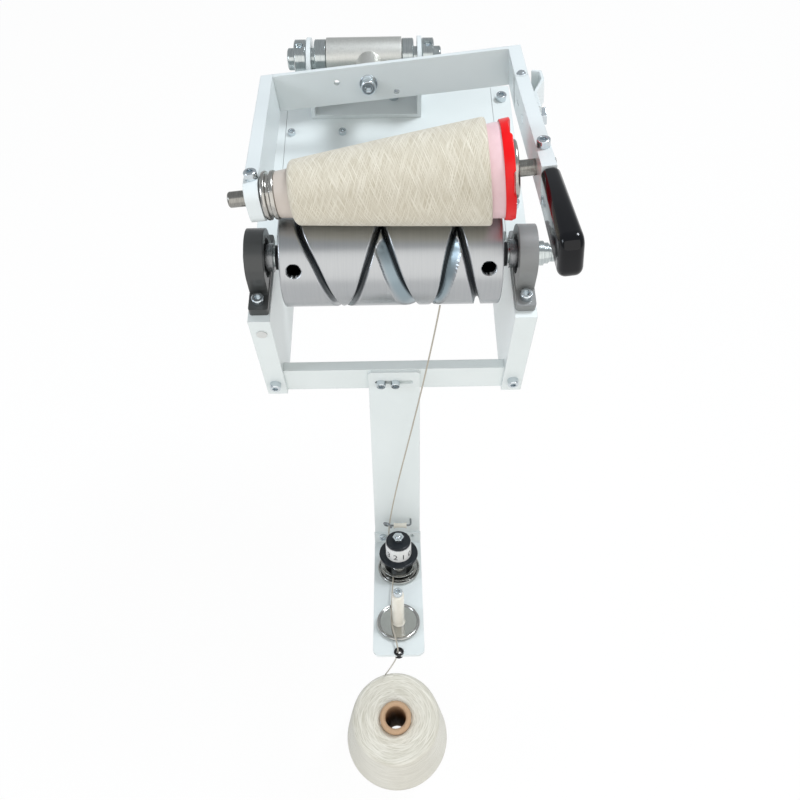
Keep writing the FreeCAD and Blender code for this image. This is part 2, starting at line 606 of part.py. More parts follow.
def pillow_block(side, sign):
    """A cast pillow block: foot, shoulders and bearing ring."""
    name = "pillow_block_" + side
    ring_radius, half = "block_ring_width / 2", "block_base_length / 2"
    body = new_body(name + "_body")
    foot = sketch_on(body, "YZ_Plane", name + "_foot")
    polygon(foot, [(f"-{half}", 0), (half, 0), (half, "block_base_wall"), (f"-{half}", "block_base_wall")])
    pad(body, foot, "block_base_width", midplane=True)
    barrel = sketch_on(body, "YZ_Plane", name + "_shoulders")
    polygon(barrel, [(f"-{ring_radius}", 0), (ring_radius, 0), (ring_radius, "block_axis_height"),
                     (f"-{ring_radius}", "block_axis_height")])
    pad(body, barrel, "block_ring_length", midplane=True)
    eye = ring(sketch_on(body, "YZ_Plane", name + "_eye"), 0, "block_axis_height", ring_radius)
    feature = pad(body, eye, "block_ring_length", midplane=True)
    rounded(body, feature, "block_corner", lambda edge: upright(edge, 2)
            and abs(abs(edge.CenterOfMass.y) - size.block_base_length / 2) < 0.1)
    seat = ring(sketch_on(body, "YZ_Plane", name + "_seat"), 0, "block_axis_height", "bearing_width / 2")
    pocket(body, seat, "2 * block_base_width", midplane=True)
    body.Placement = at(sign * side_mid, drum_y, deck)
    holes = [drill(f"{name}_hole{i}", "thread_six", "3 * block_base_wall",
                   at(sign * side_mid, drum_y + y, deck - size.block_base_wall))
             for i, y in enumerate((-size.block_bolt_spacing / 2, size.block_bolt_spacing / 2))]
    node(name, cut(name, body, *holes))


def bearings():
    """Outer rings held in the blocks; inner rings that turn with the shaft and are locked to it."""
    outer, inner = [], []
    for side, sign in SIDES:
        outer.append(tube(f"bearing_outer_{side}", "bearing_width / 2 - seat_gap",
                          "inner_ring_width / 2 + slip_gap", "bearing_length",
                          at(sign * side_mid - size.bearing_length / 2, drum_y, drum_z, ALONG_X)))
        length = "inner_ring_reach + block_ring_length / 2 + bearing_length / 2"
        start = sign * (side_mid + size.bearing_length / 2)
        turn = ALONG_MINUS_X if sign > 0 else ALONG_X
        inner.append(tube(f"bearing_inner_{side}", "inner_ring_width / 2", "shaft_width / 2 + seat_gap",
                          length, at(start, drum_y, drum_z, turn)))
    node("bearing_outer_rings", group("bearing_outer_rings", *outer))
    node("bearing_inner_rings", group("bearing_inner_rings", *inner))


def pillow_screws():
    screws = []
    for side, sign in SIDES:
        for i, y in enumerate((-size.block_bolt_spacing / 2, size.block_bolt_spacing / 2)):
            spot = (sign * side_mid, drum_y + y)
            screws.append(socket_screw(f"pillow_screw_{side}{i}", "thread_six",
                                       "block_base_wall + sheet_wall + thread_six",
                                       at(*spot, deck + size.block_base_wall)))
            screws.append(hex_nut(f"pillow_nut_{side}{i}", "thread_six",
                                  at(*spot, deck - size.sheet_wall, towards(0, 0, -1))))
    node("pillow_screws", group("pillow_screws", *screws))


# ---------------------------------------------------------------- rear pivot
def pivot_bracket():
    """The U bracket on the cover: a base and two rounded ears."""
    body = new_body("pivot_bracket_body")
    half = "bracket_width / 2"
    section = [(f"-{half}", 0), (half, 0), (half, "ear_height"), (f"{half} - bracket_wall", "ear_height"),
               (f"{half} - bracket_wall", "bracket_wall"), (f"bracket_wall - {half}", "bracket_wall"),
               (f"bracket_wall - {half}", "ear_height"), (f"-{half}", "ear_height")]
    feature = pad(body, polygon(sketch_on(body, "XZ_Plane", "bracket_section"), section), "bracket_depth",
                  midplane=True)
    feature = rounded(body, feature, "(bracket_depth - ear_flat) / 2", lambda edge: upright(edge, 0)
                      and abs(edge.CenterOfMass.z - size.ear_height) < 0.1
                      and abs(abs(edge.CenterOfMass.y) - size.bracket_depth / 2) < 0.1)
    eye = ring(sketch_on(body, "YZ_Plane", "bracket_eyes"), 0, "pivot_height",
               "pivot_shaft_width / 2 + seat_gap")
    pocket(body, eye, "2 * bracket_width", midplane=True)
    body.Placement = at(size.bracket_offset, pivot_y, deck)
    holes = bracket_holes("pivot", deck - size.bracket_wall, "3 * bracket_wall")
    node("pivot_bracket", cut("pivot_bracket", body, *holes))
    length = "bracket_wall + sheet_wall + tie_bar_wall"
    screws = [socket_screw(f"bracket_screw{i}", "thread_six", length, at(x, y, deck + size.bracket_wall))
              for i, (x, y) in enumerate(bracket_bolt_places())]
    node("bracket_screws", group("bracket_screws", *screws))


def pivot_shaft():
    """The fixed shaft through the bracket's ears, with its four collars.

    The outer collars are screwed from above and the inner ones from below.
    """
    start = size.bracket_offset - size.pivot_shaft_length / 2
    radius, edge, length = "pivot_shaft_width / 2", "shaft_edge", "pivot_shaft_length"
    shaft = turned("pivot_shaft", [
        (0, 0), (f"{radius} - {edge}", 0), (radius, edge), (radius, f"{length} - {edge}"),
        (f"{radius} - {edge}", length), (0, length)])
    node("pivot_shaft", shaft, at(start, pivot_y, pivot_z, ALONG_X))
    collars, screws = [], []
    tilt = math.radians(size.collar_screw_angle)
    above = towards(0, -math.cos(tilt), math.sin(tilt))
    below = towards(0, math.cos(tilt), -math.sin(tilt))
    outer = size.bracket_width / 2 + size.slip_gap + size.pivot_collar_length / 2
    inner = size.sleeve_length / 2 + size.slip_gap + size.pivot_collar_length / 2
    bore, wide, half = f"{radius} + seat_gap", "pivot_collar_width / 2", "pivot_collar_length / 2"
    for side, sign in SIDES:
        for label, offset, out in (("outer", outer, above), ("inner", inner, below)):
            name = f"pivot_collar_{label}_{side}"
            middle = Vector(size.bracket_offset + sign * offset, pivot_y, pivot_z)
            blank = turned(name + "_blank", [
                (bore, f"-{half}"), (f"{wide} - collar_edge", f"-{half}"), (wide, f"collar_edge - {half}"),
                (wide, f"{half} - collar_edge"), (f"{wide} - collar_edge", half), (bore, half)])
            blank.Placement = Placement(middle, ALONG_X)
            start = Placement(middle, out)
            hole = drill(name + "_hole", "collar_screw_width", "pivot_collar_width", start)
            collars.append(cut(name, blank, hole))
            screws.append(set_screw(name + "_screw", "collar_screw_width", "collar_screw_length",
                                    start * at(0, 0, size.pivot_shaft_width / 2 + size.seat_gap)))
    node("pivot_collars", group("pivot_collars", *collars))
    node("collar_set_screws", group("collar_set_screws", *screws))


# ---------------------------------------------------------------- cradle
def pivot_sleeve():
    """The sleeve that swings on the pivot shaft, with a boss that carries the yoke."""
    middle = size.bracket_offset - size.cradle_offset
    shell = tube("sleeve_tube", "sleeve_width / 2", "pivot_shaft_width / 2 + run_gap", "sleeve_length",
                 at(middle - size.sleeve_length / 2, 0, 0, ALONG_X))
    boss = rod("sleeve_boss", "sleeve_boss_width / 2", "crossbar_reach", at(0, 0, 0, FORWARD))
    bore = rod("sleeve_bore", "pivot_shaft_width / 2 + run_gap", "2 * sleeve_length",
               at(-size.sleeve_length, 0, 0, ALONG_X))
    thread = drill("sleeve_thread", "thread_eight", "2 * crossbar_reach", at(0, 0, 0, FORWARD))
    node("pivot_sleeve", cut("pivot_sleeve", fuse("sleeve_blank", shell, boss), bore, thread), LEVEL)


def yoke_bolt():
    """The screw that clamps the crossbar on the sleeve's boss, with its washer."""
    face = -size.crossbar_reach - size.crossbar_wall
    washer = tube("yoke_washer", "yoke_washer_width / 2", "thread_eight / 2", "yoke_washer_wall",
                  LEVEL * at(0, face, 0, FORWARD))
    screw = socket_screw("yoke_screw", "thread_eight", "yoke_washer_wall + crossbar_wall + yoke_bolt_bite",
                         LEVEL * at(0, face - size.yoke_washer_wall, 0, FORWARD))
    node("yoke_bolt", group("yoke_bolt", screw, washer))


def crossbar():
    """The crossbar with the short right arm, whose two lugs hold the lever."""
    half = size.arm_height / 2
    left = size.left_arm_inside + size.left_arm_splay
    right = right_inside
    pin_u = right + size.arm_width / 2
    bar = block("crossbar_bar", f"left_arm_inside + left_arm_splay + {RIGHT_INSIDE} + arm_width",
                "crossbar_wall", "arm_height", at(-left, -size.crossbar_reach - size.crossbar_wall, -half))
    ahead = "lever_pin_reach - crossbar_reach"
    arm = block("right_arm_block", "arm_width", ahead, "arm_height", at(right, -size.lever_pin_reach, -half))
    end = rod("right_arm_end", "arm_width / 2", "arm_height", at(pin_u, -size.lever_pin_reach, -half))
    well = block("right_arm_well", "2 * arm_width", "lever_heel + arm_width", "arm_height - 2 * arm_wall",
                 at(right - size.arm_width / 2, -size.lever_pin_reach - size.arm_width, size.arm_wall - half))
    hollow = block("right_arm_hollow", "arm_width", f"{ahead} - crossbar_wall - lever_heel - arm_wall",
                   "arm_height - 2 * arm_wall",
                   at(right + size.arm_wall, -size.lever_pin_reach + size.lever_heel + size.arm_wall,
                      size.arm_wall - half))
    pin = drill("right_arm_pin_hole", "lever_pin_width", "2 * arm_height",
                at(pin_u, -size.lever_pin_reach, -size.arm_height))
    back = size.crossbar_wall - size.crossbar_reach
    centre = drill("crossbar_bolt_hole", "thread_eight", "6 * crossbar_wall", at(0, back, 0, FORWARD))
    places = ((-size.left_hole_side, size.left_hole_up), (size.right_hole_side, -size.right_hole_down))
    holes = [rod(f"crossbar_hole{i}", "crossbar_hole_width / 2", "6 * crossbar_wall", at(x, back, z, FORWARD))
             for i, (x, z) in enumerate(places)]
    blank = fuse("crossbar_blank", bar, arm, end)
    node("yoke_crossbar", cut("yoke_crossbar", blank, well, hollow, pin, centre, *holes), CRADLE)


def left_arm():
    """The left arm: a splayed bar with a rounded end that clamps the small-end spindle."""
    body = new_body("left_arm_body")
    plan = sketch_on(body, "XY_Plane", "left_arm_plan")
    far, near = "-left_arm_inside", "-left_arm_inside - left_arm_splay"
    tip, root = "-spindle_reach - arm_height / 2", "-crossbar_reach"
    straight = "-crossbar_reach - crossbar_wall"
    polygon(plan, [(far, tip), (near, straight), (near, root), (f"{near} - arm_width", root),
                   (f"{near} - arm_width", straight), (f"{far} - arm_width", tip)])
    feature = pad(body, plan, "arm_height", midplane=True)
    end_y = -size.spindle_reach - size.arm_height / 2
    rounded(body, feature, "arm_round", lambda edge: upright(edge, 0)
            and abs(edge.CenterOfMass.y - end_y) < 0.1)
    middle = -size.left_arm_inside - size.arm_width / 2
    bore = drill("left_arm_bore", "spindle_width", "4 * arm_width",
                 at(middle - 2 * size.arm_width, -size.spindle_reach, 0, ALONG_X))
    thread = drill("left_arm_thread", "thread_six", "arm_height", at(middle, -size.spindle_reach, 0))
    node("left_arm", cut("left_arm", body, bore, thread), CRADLE)


def clamp_screw(name, along):
    """A clamp screw on top of an arm, bearing on its spindle."""
    return socket_screw(name, "thread_six", "(arm_height - spindle_width) / 2 - 2 * seat_gap",
                        on_cradle(along, size.spindle_reach, size.arm_height / 2))


def left_spindle():
    """The spindle that carries the small-end chuck, clamped in the left arm."""
    start = size.left_arm_inside + size.arm_width + size.spindle_overhang
    radius = "spindle_width / 2"
    length = "spindle_overhang + arm_width + chuck_gap + chuck_length + plug_depth * 2 / 3"
    spindle = turned("left_spindle", [(0, 0), (f"{radius} - spindle_edge", 0), (radius, "spindle_edge"),
                                      (radius, length), (0, length)])
    node("left_spindle", spindle, on_cradle(-start, size.spindle_reach, 0, ALONG_X))
    node("left_clamp_screw", clamp_screw("left_clamp_screw", -size.left_arm_inside - size.arm_width / 2))


# ---------------------------------------------------------------- lever
PIN = on_cradle(right_inside + size.arm_width / 2, size.lever_pin_reach)
LEVER = PIN * at(turn=Rotation(Vector(0, 0, 1), size.lever_angle))
clamp_ahead = (size.spindle_reach - size.lever_pin_reach) / math.cos(math.radians(size.lever_angle))
grip_start = clamp_ahead + size.grip_room
GRIP_START = f"((spindle_reach - lever_pin_reach) / {math.cos(math.radians(size.lever_angle))} + grip_room)"
clamp_u = (right_inside + size.arm_width / 2
           + (size.spindle_reach - size.lever_pin_reach) * math.tan(math.radians(size.lever_angle)))


def lever():
    """The swing lever: a heel between the lugs, a bar with a concave root, and the grip's tang."""
    half, side = size.arm_height / 2, size.arm_width / 2
    floor = size.arm_wall + size.slip_gap - half
    inner_height = "arm_height - 2 * arm_wall - 2 * slip_gap"
    heel = rod("lever_heel_round", "arm_width / 2", inner_height, at(0, 0, floor))
    neck = block("lever_neck", "arm_width", "arm_width", inner_height, at(-side, -size.arm_width, floor))
    bar = block("lever_bar", "arm_width", GRIP_START, "arm_height", at(-side, -grip_start, -half))
    root = rod("lever_root", "arm_width / 2 + lug_gap", "2 * arm_height", at(0, 0, -size.arm_height))
    tang = block("lever_tang", "tang_wall", "tang_length + tang_wall", "tang_height",
                 at(-size.tang_wall / 2, -grip_start - size.tang_length, -size.tang_height / 2))
    blank = fuse("lever_blank", heel, neck, cut("lever_rooted_bar", bar, root), tang)
    bore = drill("lever_bore", "spindle_width", "4 * arm_width",
                 LEVER.inverse() * on_cradle(clamp_u - 2 * size.arm_width, size.spindle_reach, 0, ALONG_X))
    pin = rod("lever_pin_hole", "lever_pin_width / 2 + run_gap", "2 * arm_height", at(0, 0, -size.arm_height))
    thread = drill("lever_thread", "thread_six", "arm_height", at(0, -clamp_ahead, 0))
    tapped = drill("lever_bolt_hole", "thread_eight", "4 * arm_width",
                   at(-2 * size.arm_width, -size.guard_bolt_reach, 0, ALONG_X))
    slot = block("lever_slot", "2 * arm_wall", "lever_slot_length", "lever_slot_width",
                 at(-side - size.arm_wall, -size.lever_slot_reach, 0))
    node("lever_arm", cut("lever_arm", blank, bore, pin, thread, tapped, slot), LEVER)
    seat = LEVER * at(side + size.guard_wall, -size.guard_bolt_reach, 0, ALONG_X)
    node("lever_side_bolt", hex_bolt("lever_side_bolt", "thread_eight", "arm_width + guard_wall", seat))


def strip(points, wall):
    """The outline of a bent strip: the points are its middle line, in plan."""
    left, right = [], []
    for i, point in enumerate(points):
        before, after = points[max(i - 1, 0)], points[min(i + 1, len(points) - 1)]
        come = (point - before).normalize() if i else (after - point).normalize()
        leave = (after - point).normalize() if i < len(points) - 1 else come
        across = (come + leave).normalize()
        aside = Vector(-across.y, across.x, 0) * (wall / 2 / across.dot(leave))
        left.append(point + aside)
        right.append(point - aside)
    return [(point.x, point.y) for point in left + right[::-1]]


def lever_guard():
    """The bent strip bolted on the lever's outer side, which curls round beside the pin."""
    side = size.arm_width / 2 + size.guard_wall / 2
    out = size.arm_width / 2 + size.guard_spread - size.guard_wall / 2
    bolt = size.guard_bolt_reach
    line = [Vector(side, -bolt - size.guard_flat), Vector(side, -bolt + size.guard_flat),
            Vector(out, -bolt + size.guard_run), Vector(out, size.guard_back),
            Vector(out - size.guard_curl, size.guard_curl_back)]
    body = new_body("guard_body")
    feature = pad(body, polygon(sketch_on(body, "XY_Plane", "guard_plan"), strip(line, size.guard_wall)),
                  "guard_height", midplane=True)
    ends = (-bolt - size.guard_flat, line[-1].y)
    rounded(body, feature, "guard_round", lambda edge: upright(edge, 2)
            and min(abs(edge.CenterOfMass.y - y) for y in ends) > size.guard_wall)
    body.Placement = at(0, 0, size.guard_up)
    hole = drill("guard_hole", "thread_eight", "arm_width + 2 * guard_wall", at(0, -bolt, 0, ALONG_X))
    node("lever_side_bracket", cut("lever_side_bracket", body, hole), LEVER)


def lever_pin():
    """The pin through both lugs, with a low round head."""
    wide, tall = "lever_pin_width / 2", "arm_height"
    pin = turned("lever_pin", [
        (0, 0), (wide, 0), (wide, tall), (f"{wide} + lever_pin_head", tall),
        (wide, f"{tall} + lever_pin_head"), (0, f"{tall} + lever_pin_head")])
    node("lever_pin", pin, PIN * at(0, 0, -size.arm_height / 2))


def lever_spindle():
    """The spindle that carries the base chuck on its neck, clamped in the lever."""
    start = nose_u + size.tube_length + size.cap_end_wall + size.slip_gap + size.disc_wall
    radius, neck = "spindle_width / 2", "spindle_neck_width / 2"
    length = f"{clamp_u + size.arm_width / 2 - start} + spindle_proud"
    tip = "-disc_wall - base_plug_depth / 2"
    spindle = turned("lever_spindle", [
        (0, tip), (neck, tip), (neck, "slip_gap"),
        (radius, "slip_gap"), (radius, f"{length} - spindle_edge"), (f"{radius} - spindle_edge", length),
        (0, length)])
    node("lever_spindle", spindle, on_cradle(start, size.spindle_reach, 0, ALONG_X))
    node("lever_clamp_screw", clamp_screw("lever_clamp_screw", clamp_u))


def grip():
    """The dipped grip: wider towards its rounded end, on the lever's tang."""
    body = new_body("grip_body")
    plan = sketch_on(body, "XY_Plane", "grip_plan")
    neck, end = "grip_neck_width / 2", "grip_end_width / 2"
    shoulder, tip = "grip_slope - grip_length", f"{end} - grip_slope"
    polygon(plan, [(f"-{neck}", 0), (f"-{end}", shoulder), (f"-({tip})", "-grip_length"),
                   (tip, "-grip_length"), (end, shoulder), (neck, 0)])
    feature = pad(body, plan, "grip_height", midplane=True)
    rounded(body, feature, "grip_round", lambda edge: edge.CenterOfMass.y < -size.grip_round
            and abs(abs(edge.CenterOfMass.z) - size.grip_height / 2) < 0.1)
    body.Placement = at(0, -grip_start)
    gap = size.seat_gap
    well = block("grip_well", "tang_wall + 2 * seat_gap", "tang_length + tang_wall + seat_gap",
                 "tang_height + 2 * seat_gap",
                 at(-size.tang_wall / 2 - gap, -grip_start - size.tang_length - gap,
                    -size.tang_height / 2 - gap))
    node("lever_grip", cut("lever_grip", body, well), LEVER)


# ---------------------------------------------------------------- cone
def cone_radius(along, extra="0"):
    """The tube's outer radius, as a formula, at this distance from its nose."""
    growth = "(tube_base_width - tube_nose_width) / 2 / tube_length"
    return f"tube_nose_width / 2 + ({along}) * {growth} + {extra}"


def cone():
    """The tapered tube with its base band and the yarn wound on it."""
    wall = "tube_wall"
    shell = turned("cone_tube", [
        (cone_radius(0, f"-{wall}"), 0), (cone_radius(0), 0), (cone_radius("tube_length"), "tube_length"),
        (cone_radius("tube_length", f"-{wall}"), "tube_length")])
    place = on_cradle(nose_u, size.spindle_reach, 0, ALONG_X)
    node("cone_tube", shell, place)
    start, end = "tube_length - cap_skirt", "tube_length"
    rim = cone_radius(end, "cap_rim_wall + seat_gap")
    cap = turned("cone_end_ring", [
        (cone_radius(start, "seat_gap"), start), (cone_radius(start, "cap_rim_wall + seat_gap"), start),
        (rim, end), (rim, f"{end} + cap_end_wall"), ("cap_bore / 2", f"{end} + cap_end_wall"),
        ("cap_bore / 2", end), (cone_radius(end, "seat_gap"), end)])
    node("cone_end_ring", cap, place)
    low, high = "yarn_left_inset", "tube_length - yarn_right_inset"
    build, edge = "yarn_build", "yarn_edge"
    yarn = turned("wound_yarn", [
        (cone_radius(low, "seat_gap"), low), (cone_radius(low, f"{build} - {edge}"), low),
        (cone_radius(f"{low} + {edge}", build), f"{low} + {edge}"),
        (cone_radius(f"{high} - {edge} / 2", build), f"{high} - {edge} / 2"),
        (cone_radius(high, f"{build} - {edge} / 2"), high), (cone_radius(high, "seat_gap"), high)])
    node("wound_yarn", yarn, place)


def small_end_chuck():
    """The grooved chuck at the cone's nose, with the plug that enters the tube."""
    wide, width, edge = "chuck_width / 2", "chuck_length", "spindle_edge"
    deep = f"{wide} - chuck_groove_depth"
    near, far = f"({width} - chuck_groove_width) / 2", f"({width} + chuck_groove_width) / 2"
    bore = "spindle_width / 2 + run_gap"
    plug = "tube_nose_width / 2 - tube_wall - seat_gap"
    taper_in = "plug_depth * (tube_base_width - tube_nose_width) / 2 / tube_length"
    chuck = turned("small_end_chuck", [
        (bore, 0), (f"{wide} - {edge}", 0), (wide, edge), (wide, near), (deep, near), (deep, far),
        (wide, far), (wide, f"{width} - {edge}"), (f"{wide} - {edge}", width), (plug, width),
        (f"{plug} + {taper_in}", f"{width} + plug_depth"), (bore, f"{width} + plug_depth")])
    node("small_end_chuck", chuck, on_cradle(nose_u - size.chuck_length, size.spindle_reach, 0, ALONG_X))


def base_chuck():
    """The end disc that closes on the cone's base, with its tapered centring plug."""
    bore, plug, edge = "spindle_neck_width / 2 + run_gap", "base_plug_width / 2", "spindle_edge"
    disc = turned("base_chuck", [
        (bore, "-base_plug_depth"), (f"{plug} - base_plug_taper", "-base_plug_depth"), (plug, 0),
        ("disc_width / 2", 0), ("disc_width / 2", f"disc_wall - {edge}"),
        (f"disc_width / 2 - {edge}", "disc_wall"), (bore, "disc_wall")])
    start = nose_u + size.tube_length + size.cap_end_wall + size.slip_gap
    node("base_chuck", disc, on_cradle(start, size.spindle_reach, 0, ALONG_X))


# ---------------------------------------------------------------- feed plate and tensioner
lean = math.radians(size.feed_angle)
fold_y = front - size.feed_length * math.sin(lean)
fold_z = size.feed_kink_up - size.feed_length * math.cos(lean)
SHELF = at(0, fold_y, fold_z, Rotation(Vector(1, 0, 0), -size.shelf_angle))


def on_shelf(across=0.0, reach=0.0, up=0.0, turn=None):
    """A place on the shelf: across it, out from its fold, and up from its face."""
    return SHELF * Placement(Vector(across, -reach, up), turn or Rotation())


def on_tensioner(up=0.0):
    """A place on the tensioner's own axis, up from the shelf's face."""
    return on_shelf(size.tensioner_side, size.tensioner_reach, up)


def feed_plate():
    """The hanging plate: an upright head on the front bar, kinked towards the operator."""
    wall = "sheet_wall"
    shift = size.sheet_wall * math.tan(lean / 2)
    dip_y, dip_z = math.sin(lean), math.cos(lean)
    body = new_body("feed_plate_body")
    section = sketch_on(body, "YZ_Plane", "feed_section")
    end_y, end_z = f"-feed_length * {dip_y}", f"-feed_length * {dip_z} - {shift}"
    polygon(section, [
        (0, "feed_head"), (0, -shift), (end_y, end_z),
        (f"{end_y} - {wall} * {dip_z}", f"{end_z} + {wall} * {dip_y}"), (f"-{wall}", 0),
        (f"-{wall}", "feed_head")])
    feature = pad(body, section, "feed_width", midplane=True)
    rounded(body, feature, "feed_round", lambda edge: upright(edge, 1)
            and abs(edge.CenterOfMass.z - size.feed_head) < 0.1)
    body.Placement = at(0, front + size.sheet_wall, size.feed_kink_up)
    up = size.feed_kink_up + size.feed_slot_up
    y = front + 2 * size.sheet_wall
    half = (size.feed_slot_length - size.feed_slot_width) / 2
    slot = [rod(f"feed_slot_end{i}", "feed_slot_width / 2", "3 * sheet_wall", at(x, y, up, FORWARD))
            for i, x in enumerate((-half, half))]
    slot.append(block("feed_slot_run", "feed_slot_length - feed_slot_width", "3 * sheet_wall",
                      "feed_slot_width", at(-half, y - 3 * size.sheet_wall, up - size.feed_slot_width / 2)))
    holes = [drill(f"feed_shelf_hole{i}", "thread_four", "4 * sheet_wall", shelf_screw_place(x)
                   * at(0, 0, -3 * size.sheet_wall)) for i, x in enumerate((-1, 1))]
    node("feed_plate", cut("feed_plate", body, *slot, *holes))
    screws = []
    for i, x in enumerate((-size.feed_bolt_left, size.feed_bolt_right)):
        screws.append(socket_screw(f"feed_screw{i}", "thread_five", "2 * sheet_wall + thread_five",
                                   at(x, front, up, FORWARD)))
        screws.append(hex_nut(f"feed_nut{i}", "thread_five", at(x, y, up, towards(0, 1, 0))))
    node("feed_screws", group("feed_screws", *screws))


def face_on_plate(across, up):
    """A place on the plate's front face, up from the fold, facing the operator."""
    out = Vector(0, -math.cos(lean), math.sin(lean))
    origin = Vector(across, fold_y + up * math.sin(lean), fold_z + up * math.cos(lean))
    return Placement(origin, Rotation(Vector(0, 0, 1), out))


def shelf_screw_place(sign):
    """One of the two holes in the shelf's lip, on the lip's outer face."""
    return face_on_plate(sign * size.shelf_screw_side, size.shelf_screw_up) * at(0, 0, size.shelf_wall)


def tension_shelf():
    """The folded shelf: a lip on the plate and a rising tongue with a rounded front."""
    climb = math.radians(size.shelf_angle)
    wall = "shelf_wall"
    body = new_body("tension_shelf_body")
    section = sketch_on(body, "YZ_Plane", "shelf_section")
    lip_y, lip_z = math.sin(lean), math.cos(lean)
    run_y, run_z = math.cos(climb), math.sin(climb)
    corner = 1 / math.cos(climb - lean)
    polygon(section, [
        (f"shelf_lip * {lip_y}", f"shelf_lip * {lip_z}"), (0, 0), (0, f"-{wall}"),
        (f"-shelf_length * {run_y} - {wall} * {run_z}", f"shelf_length * {run_z} - {wall} * {run_y}"),
        (f"-shelf_length * {run_y}", f"shelf_length * {run_z}"),
        (f"-{wall} * {corner * run_y}", f"{wall} * {corner * run_z}"),
        (f"shelf_lip * {lip_y} - {wall} * {lip_z}", f"shelf_lip * {lip_z} + {wall} * {lip_y}")])
    pad(body, section, "shelf_width", midplane=True)
    body.Placement = at(0, fold_y, fold_z)
    half = size.shelf_width / 2
    corners = []
    for side, sign in SIDES:
        square = block(f"shelf_corner_{side}", "2 * shelf_round", "2 * shelf_round", "4 * shelf_wall",
                       on_shelf(sign * half - size.shelf_round,
                                size.shelf_length + size.shelf_round, -2 * size.shelf_wall))
        disc = rod(f"shelf_corner_disc_{side}", "shelf_round", "6 * shelf_wall",
                   on_shelf(sign * (half - size.shelf_round), size.shelf_length - size.shelf_round,
                            -3 * size.shelf_wall))
        corners.append(cut(f"shelf_corner_cut_{side}", square, disc))
    drop = -3 * size.shelf_wall
    holes = [drill("shelf_stud_hole", "stud_width", "6 * shelf_wall", on_tensioner(drop)),
             drill("shelf_post_hole", "thread_five", "6 * shelf_wall", on_shelf(0, size.post_reach, drop)),
             rod("shelf_eyelet_hole", "eyelet_neck_width / 2 + seat_gap", "6 * shelf_wall",
                 on_shelf(0, size.shelf_length - size.eyelet_inset, drop))]
    holes += [drill(f"shelf_screw_hole{i}", "thread_four", "6 * shelf_wall", shelf_screw_place(x)
                    * at(0, 0, drop)) for i, x in enumerate((-1, 1))]
    node("tension_shelf", cut("tension_shelf", body, *corners, *holes))
    node("shelf_screw", socket_screw("shelf_screw", "thread_four", "shelf_wall + sheet_wall",
                                     shelf_screw_place(-1)))


def eyelet():
    """The flanged yarn eyelet set in the shelf's tip."""
    wide, neck, bore = "eyelet_width / 2", "eyelet_neck_width / 2", "eyelet_bore / 2"
    flange = "eyelet_flange"
    floor = "-shelf_wall - seat_gap"
    bottom = "eyelet_flange - eyelet_length"
    body = turned("yarn_eyelet", [
        (f"{bore} + {flange} / 2", bottom), (wide, bottom), (wide, floor), (neck, floor), (neck, 0),
        (wide, 0), (wide, f"{flange} / 2"), (f"{wide} - {flange} / 2", flange),
        (f"{bore} + {flange} / 2", flange), (bore, f"{flange} / 2"), (bore, f"{bottom} + {flange} / 2")])
    node("yarn_eyelet", body, on_shelf(0, size.shelf_length - size.eyelet_inset))


def lower_post():
    """The polished saucer with the ceramic post that the yarn turns around."""
    wide, face, edge = "saucer_width / 2", "saucer_face_width / 2", "post_edge"
    bore = "thread_five / 2 + seat_gap"
    base = "saucer_wall - saucer_sink"
    saucer = turned("tension_saucer", [
        (bore, 0), (f"{wide} - 2 * {edge}", 0), (wide, f"2 * {edge}"), (wide, f"saucer_wall - {edge}"),
        (f"{wide} - {edge}", "saucer_wall"), (f"{face} + {edge} / 2", "saucer_wall"), (face, base),
        (bore, base)])
    node("tension_saucer", saucer, on_shelf(0, size.post_reach))
    top = f"{base} + post_height - thread_five / 2"
    radius = "post_width / 2"
    post = turned("ceramic_post", [
        (bore, base), (f"{radius} + {edge}", base), (radius, f"{base} + post_foot"),
        (radius, f"{top} - {edge}"), (f"{radius} - {edge}", top), (bore, top)])
    node("ceramic_post", post, on_shelf(0, size.post_reach))
    up = size.saucer_wall - size.saucer_sink + size.post_height - size.thread_five / 2
    screw = socket_screw("post_cap_screw", "thread_five", f"{top} + shelf_wall + thread_five",
                         on_shelf(0, size.post_reach, up))
    nut = hex_nut("post_nut", "thread_five",
                  on_shelf(0, size.post_reach, -size.shelf_wall, towards(0, 0, -1)))
    node("post_screw", group("post_screw", screw, nut))


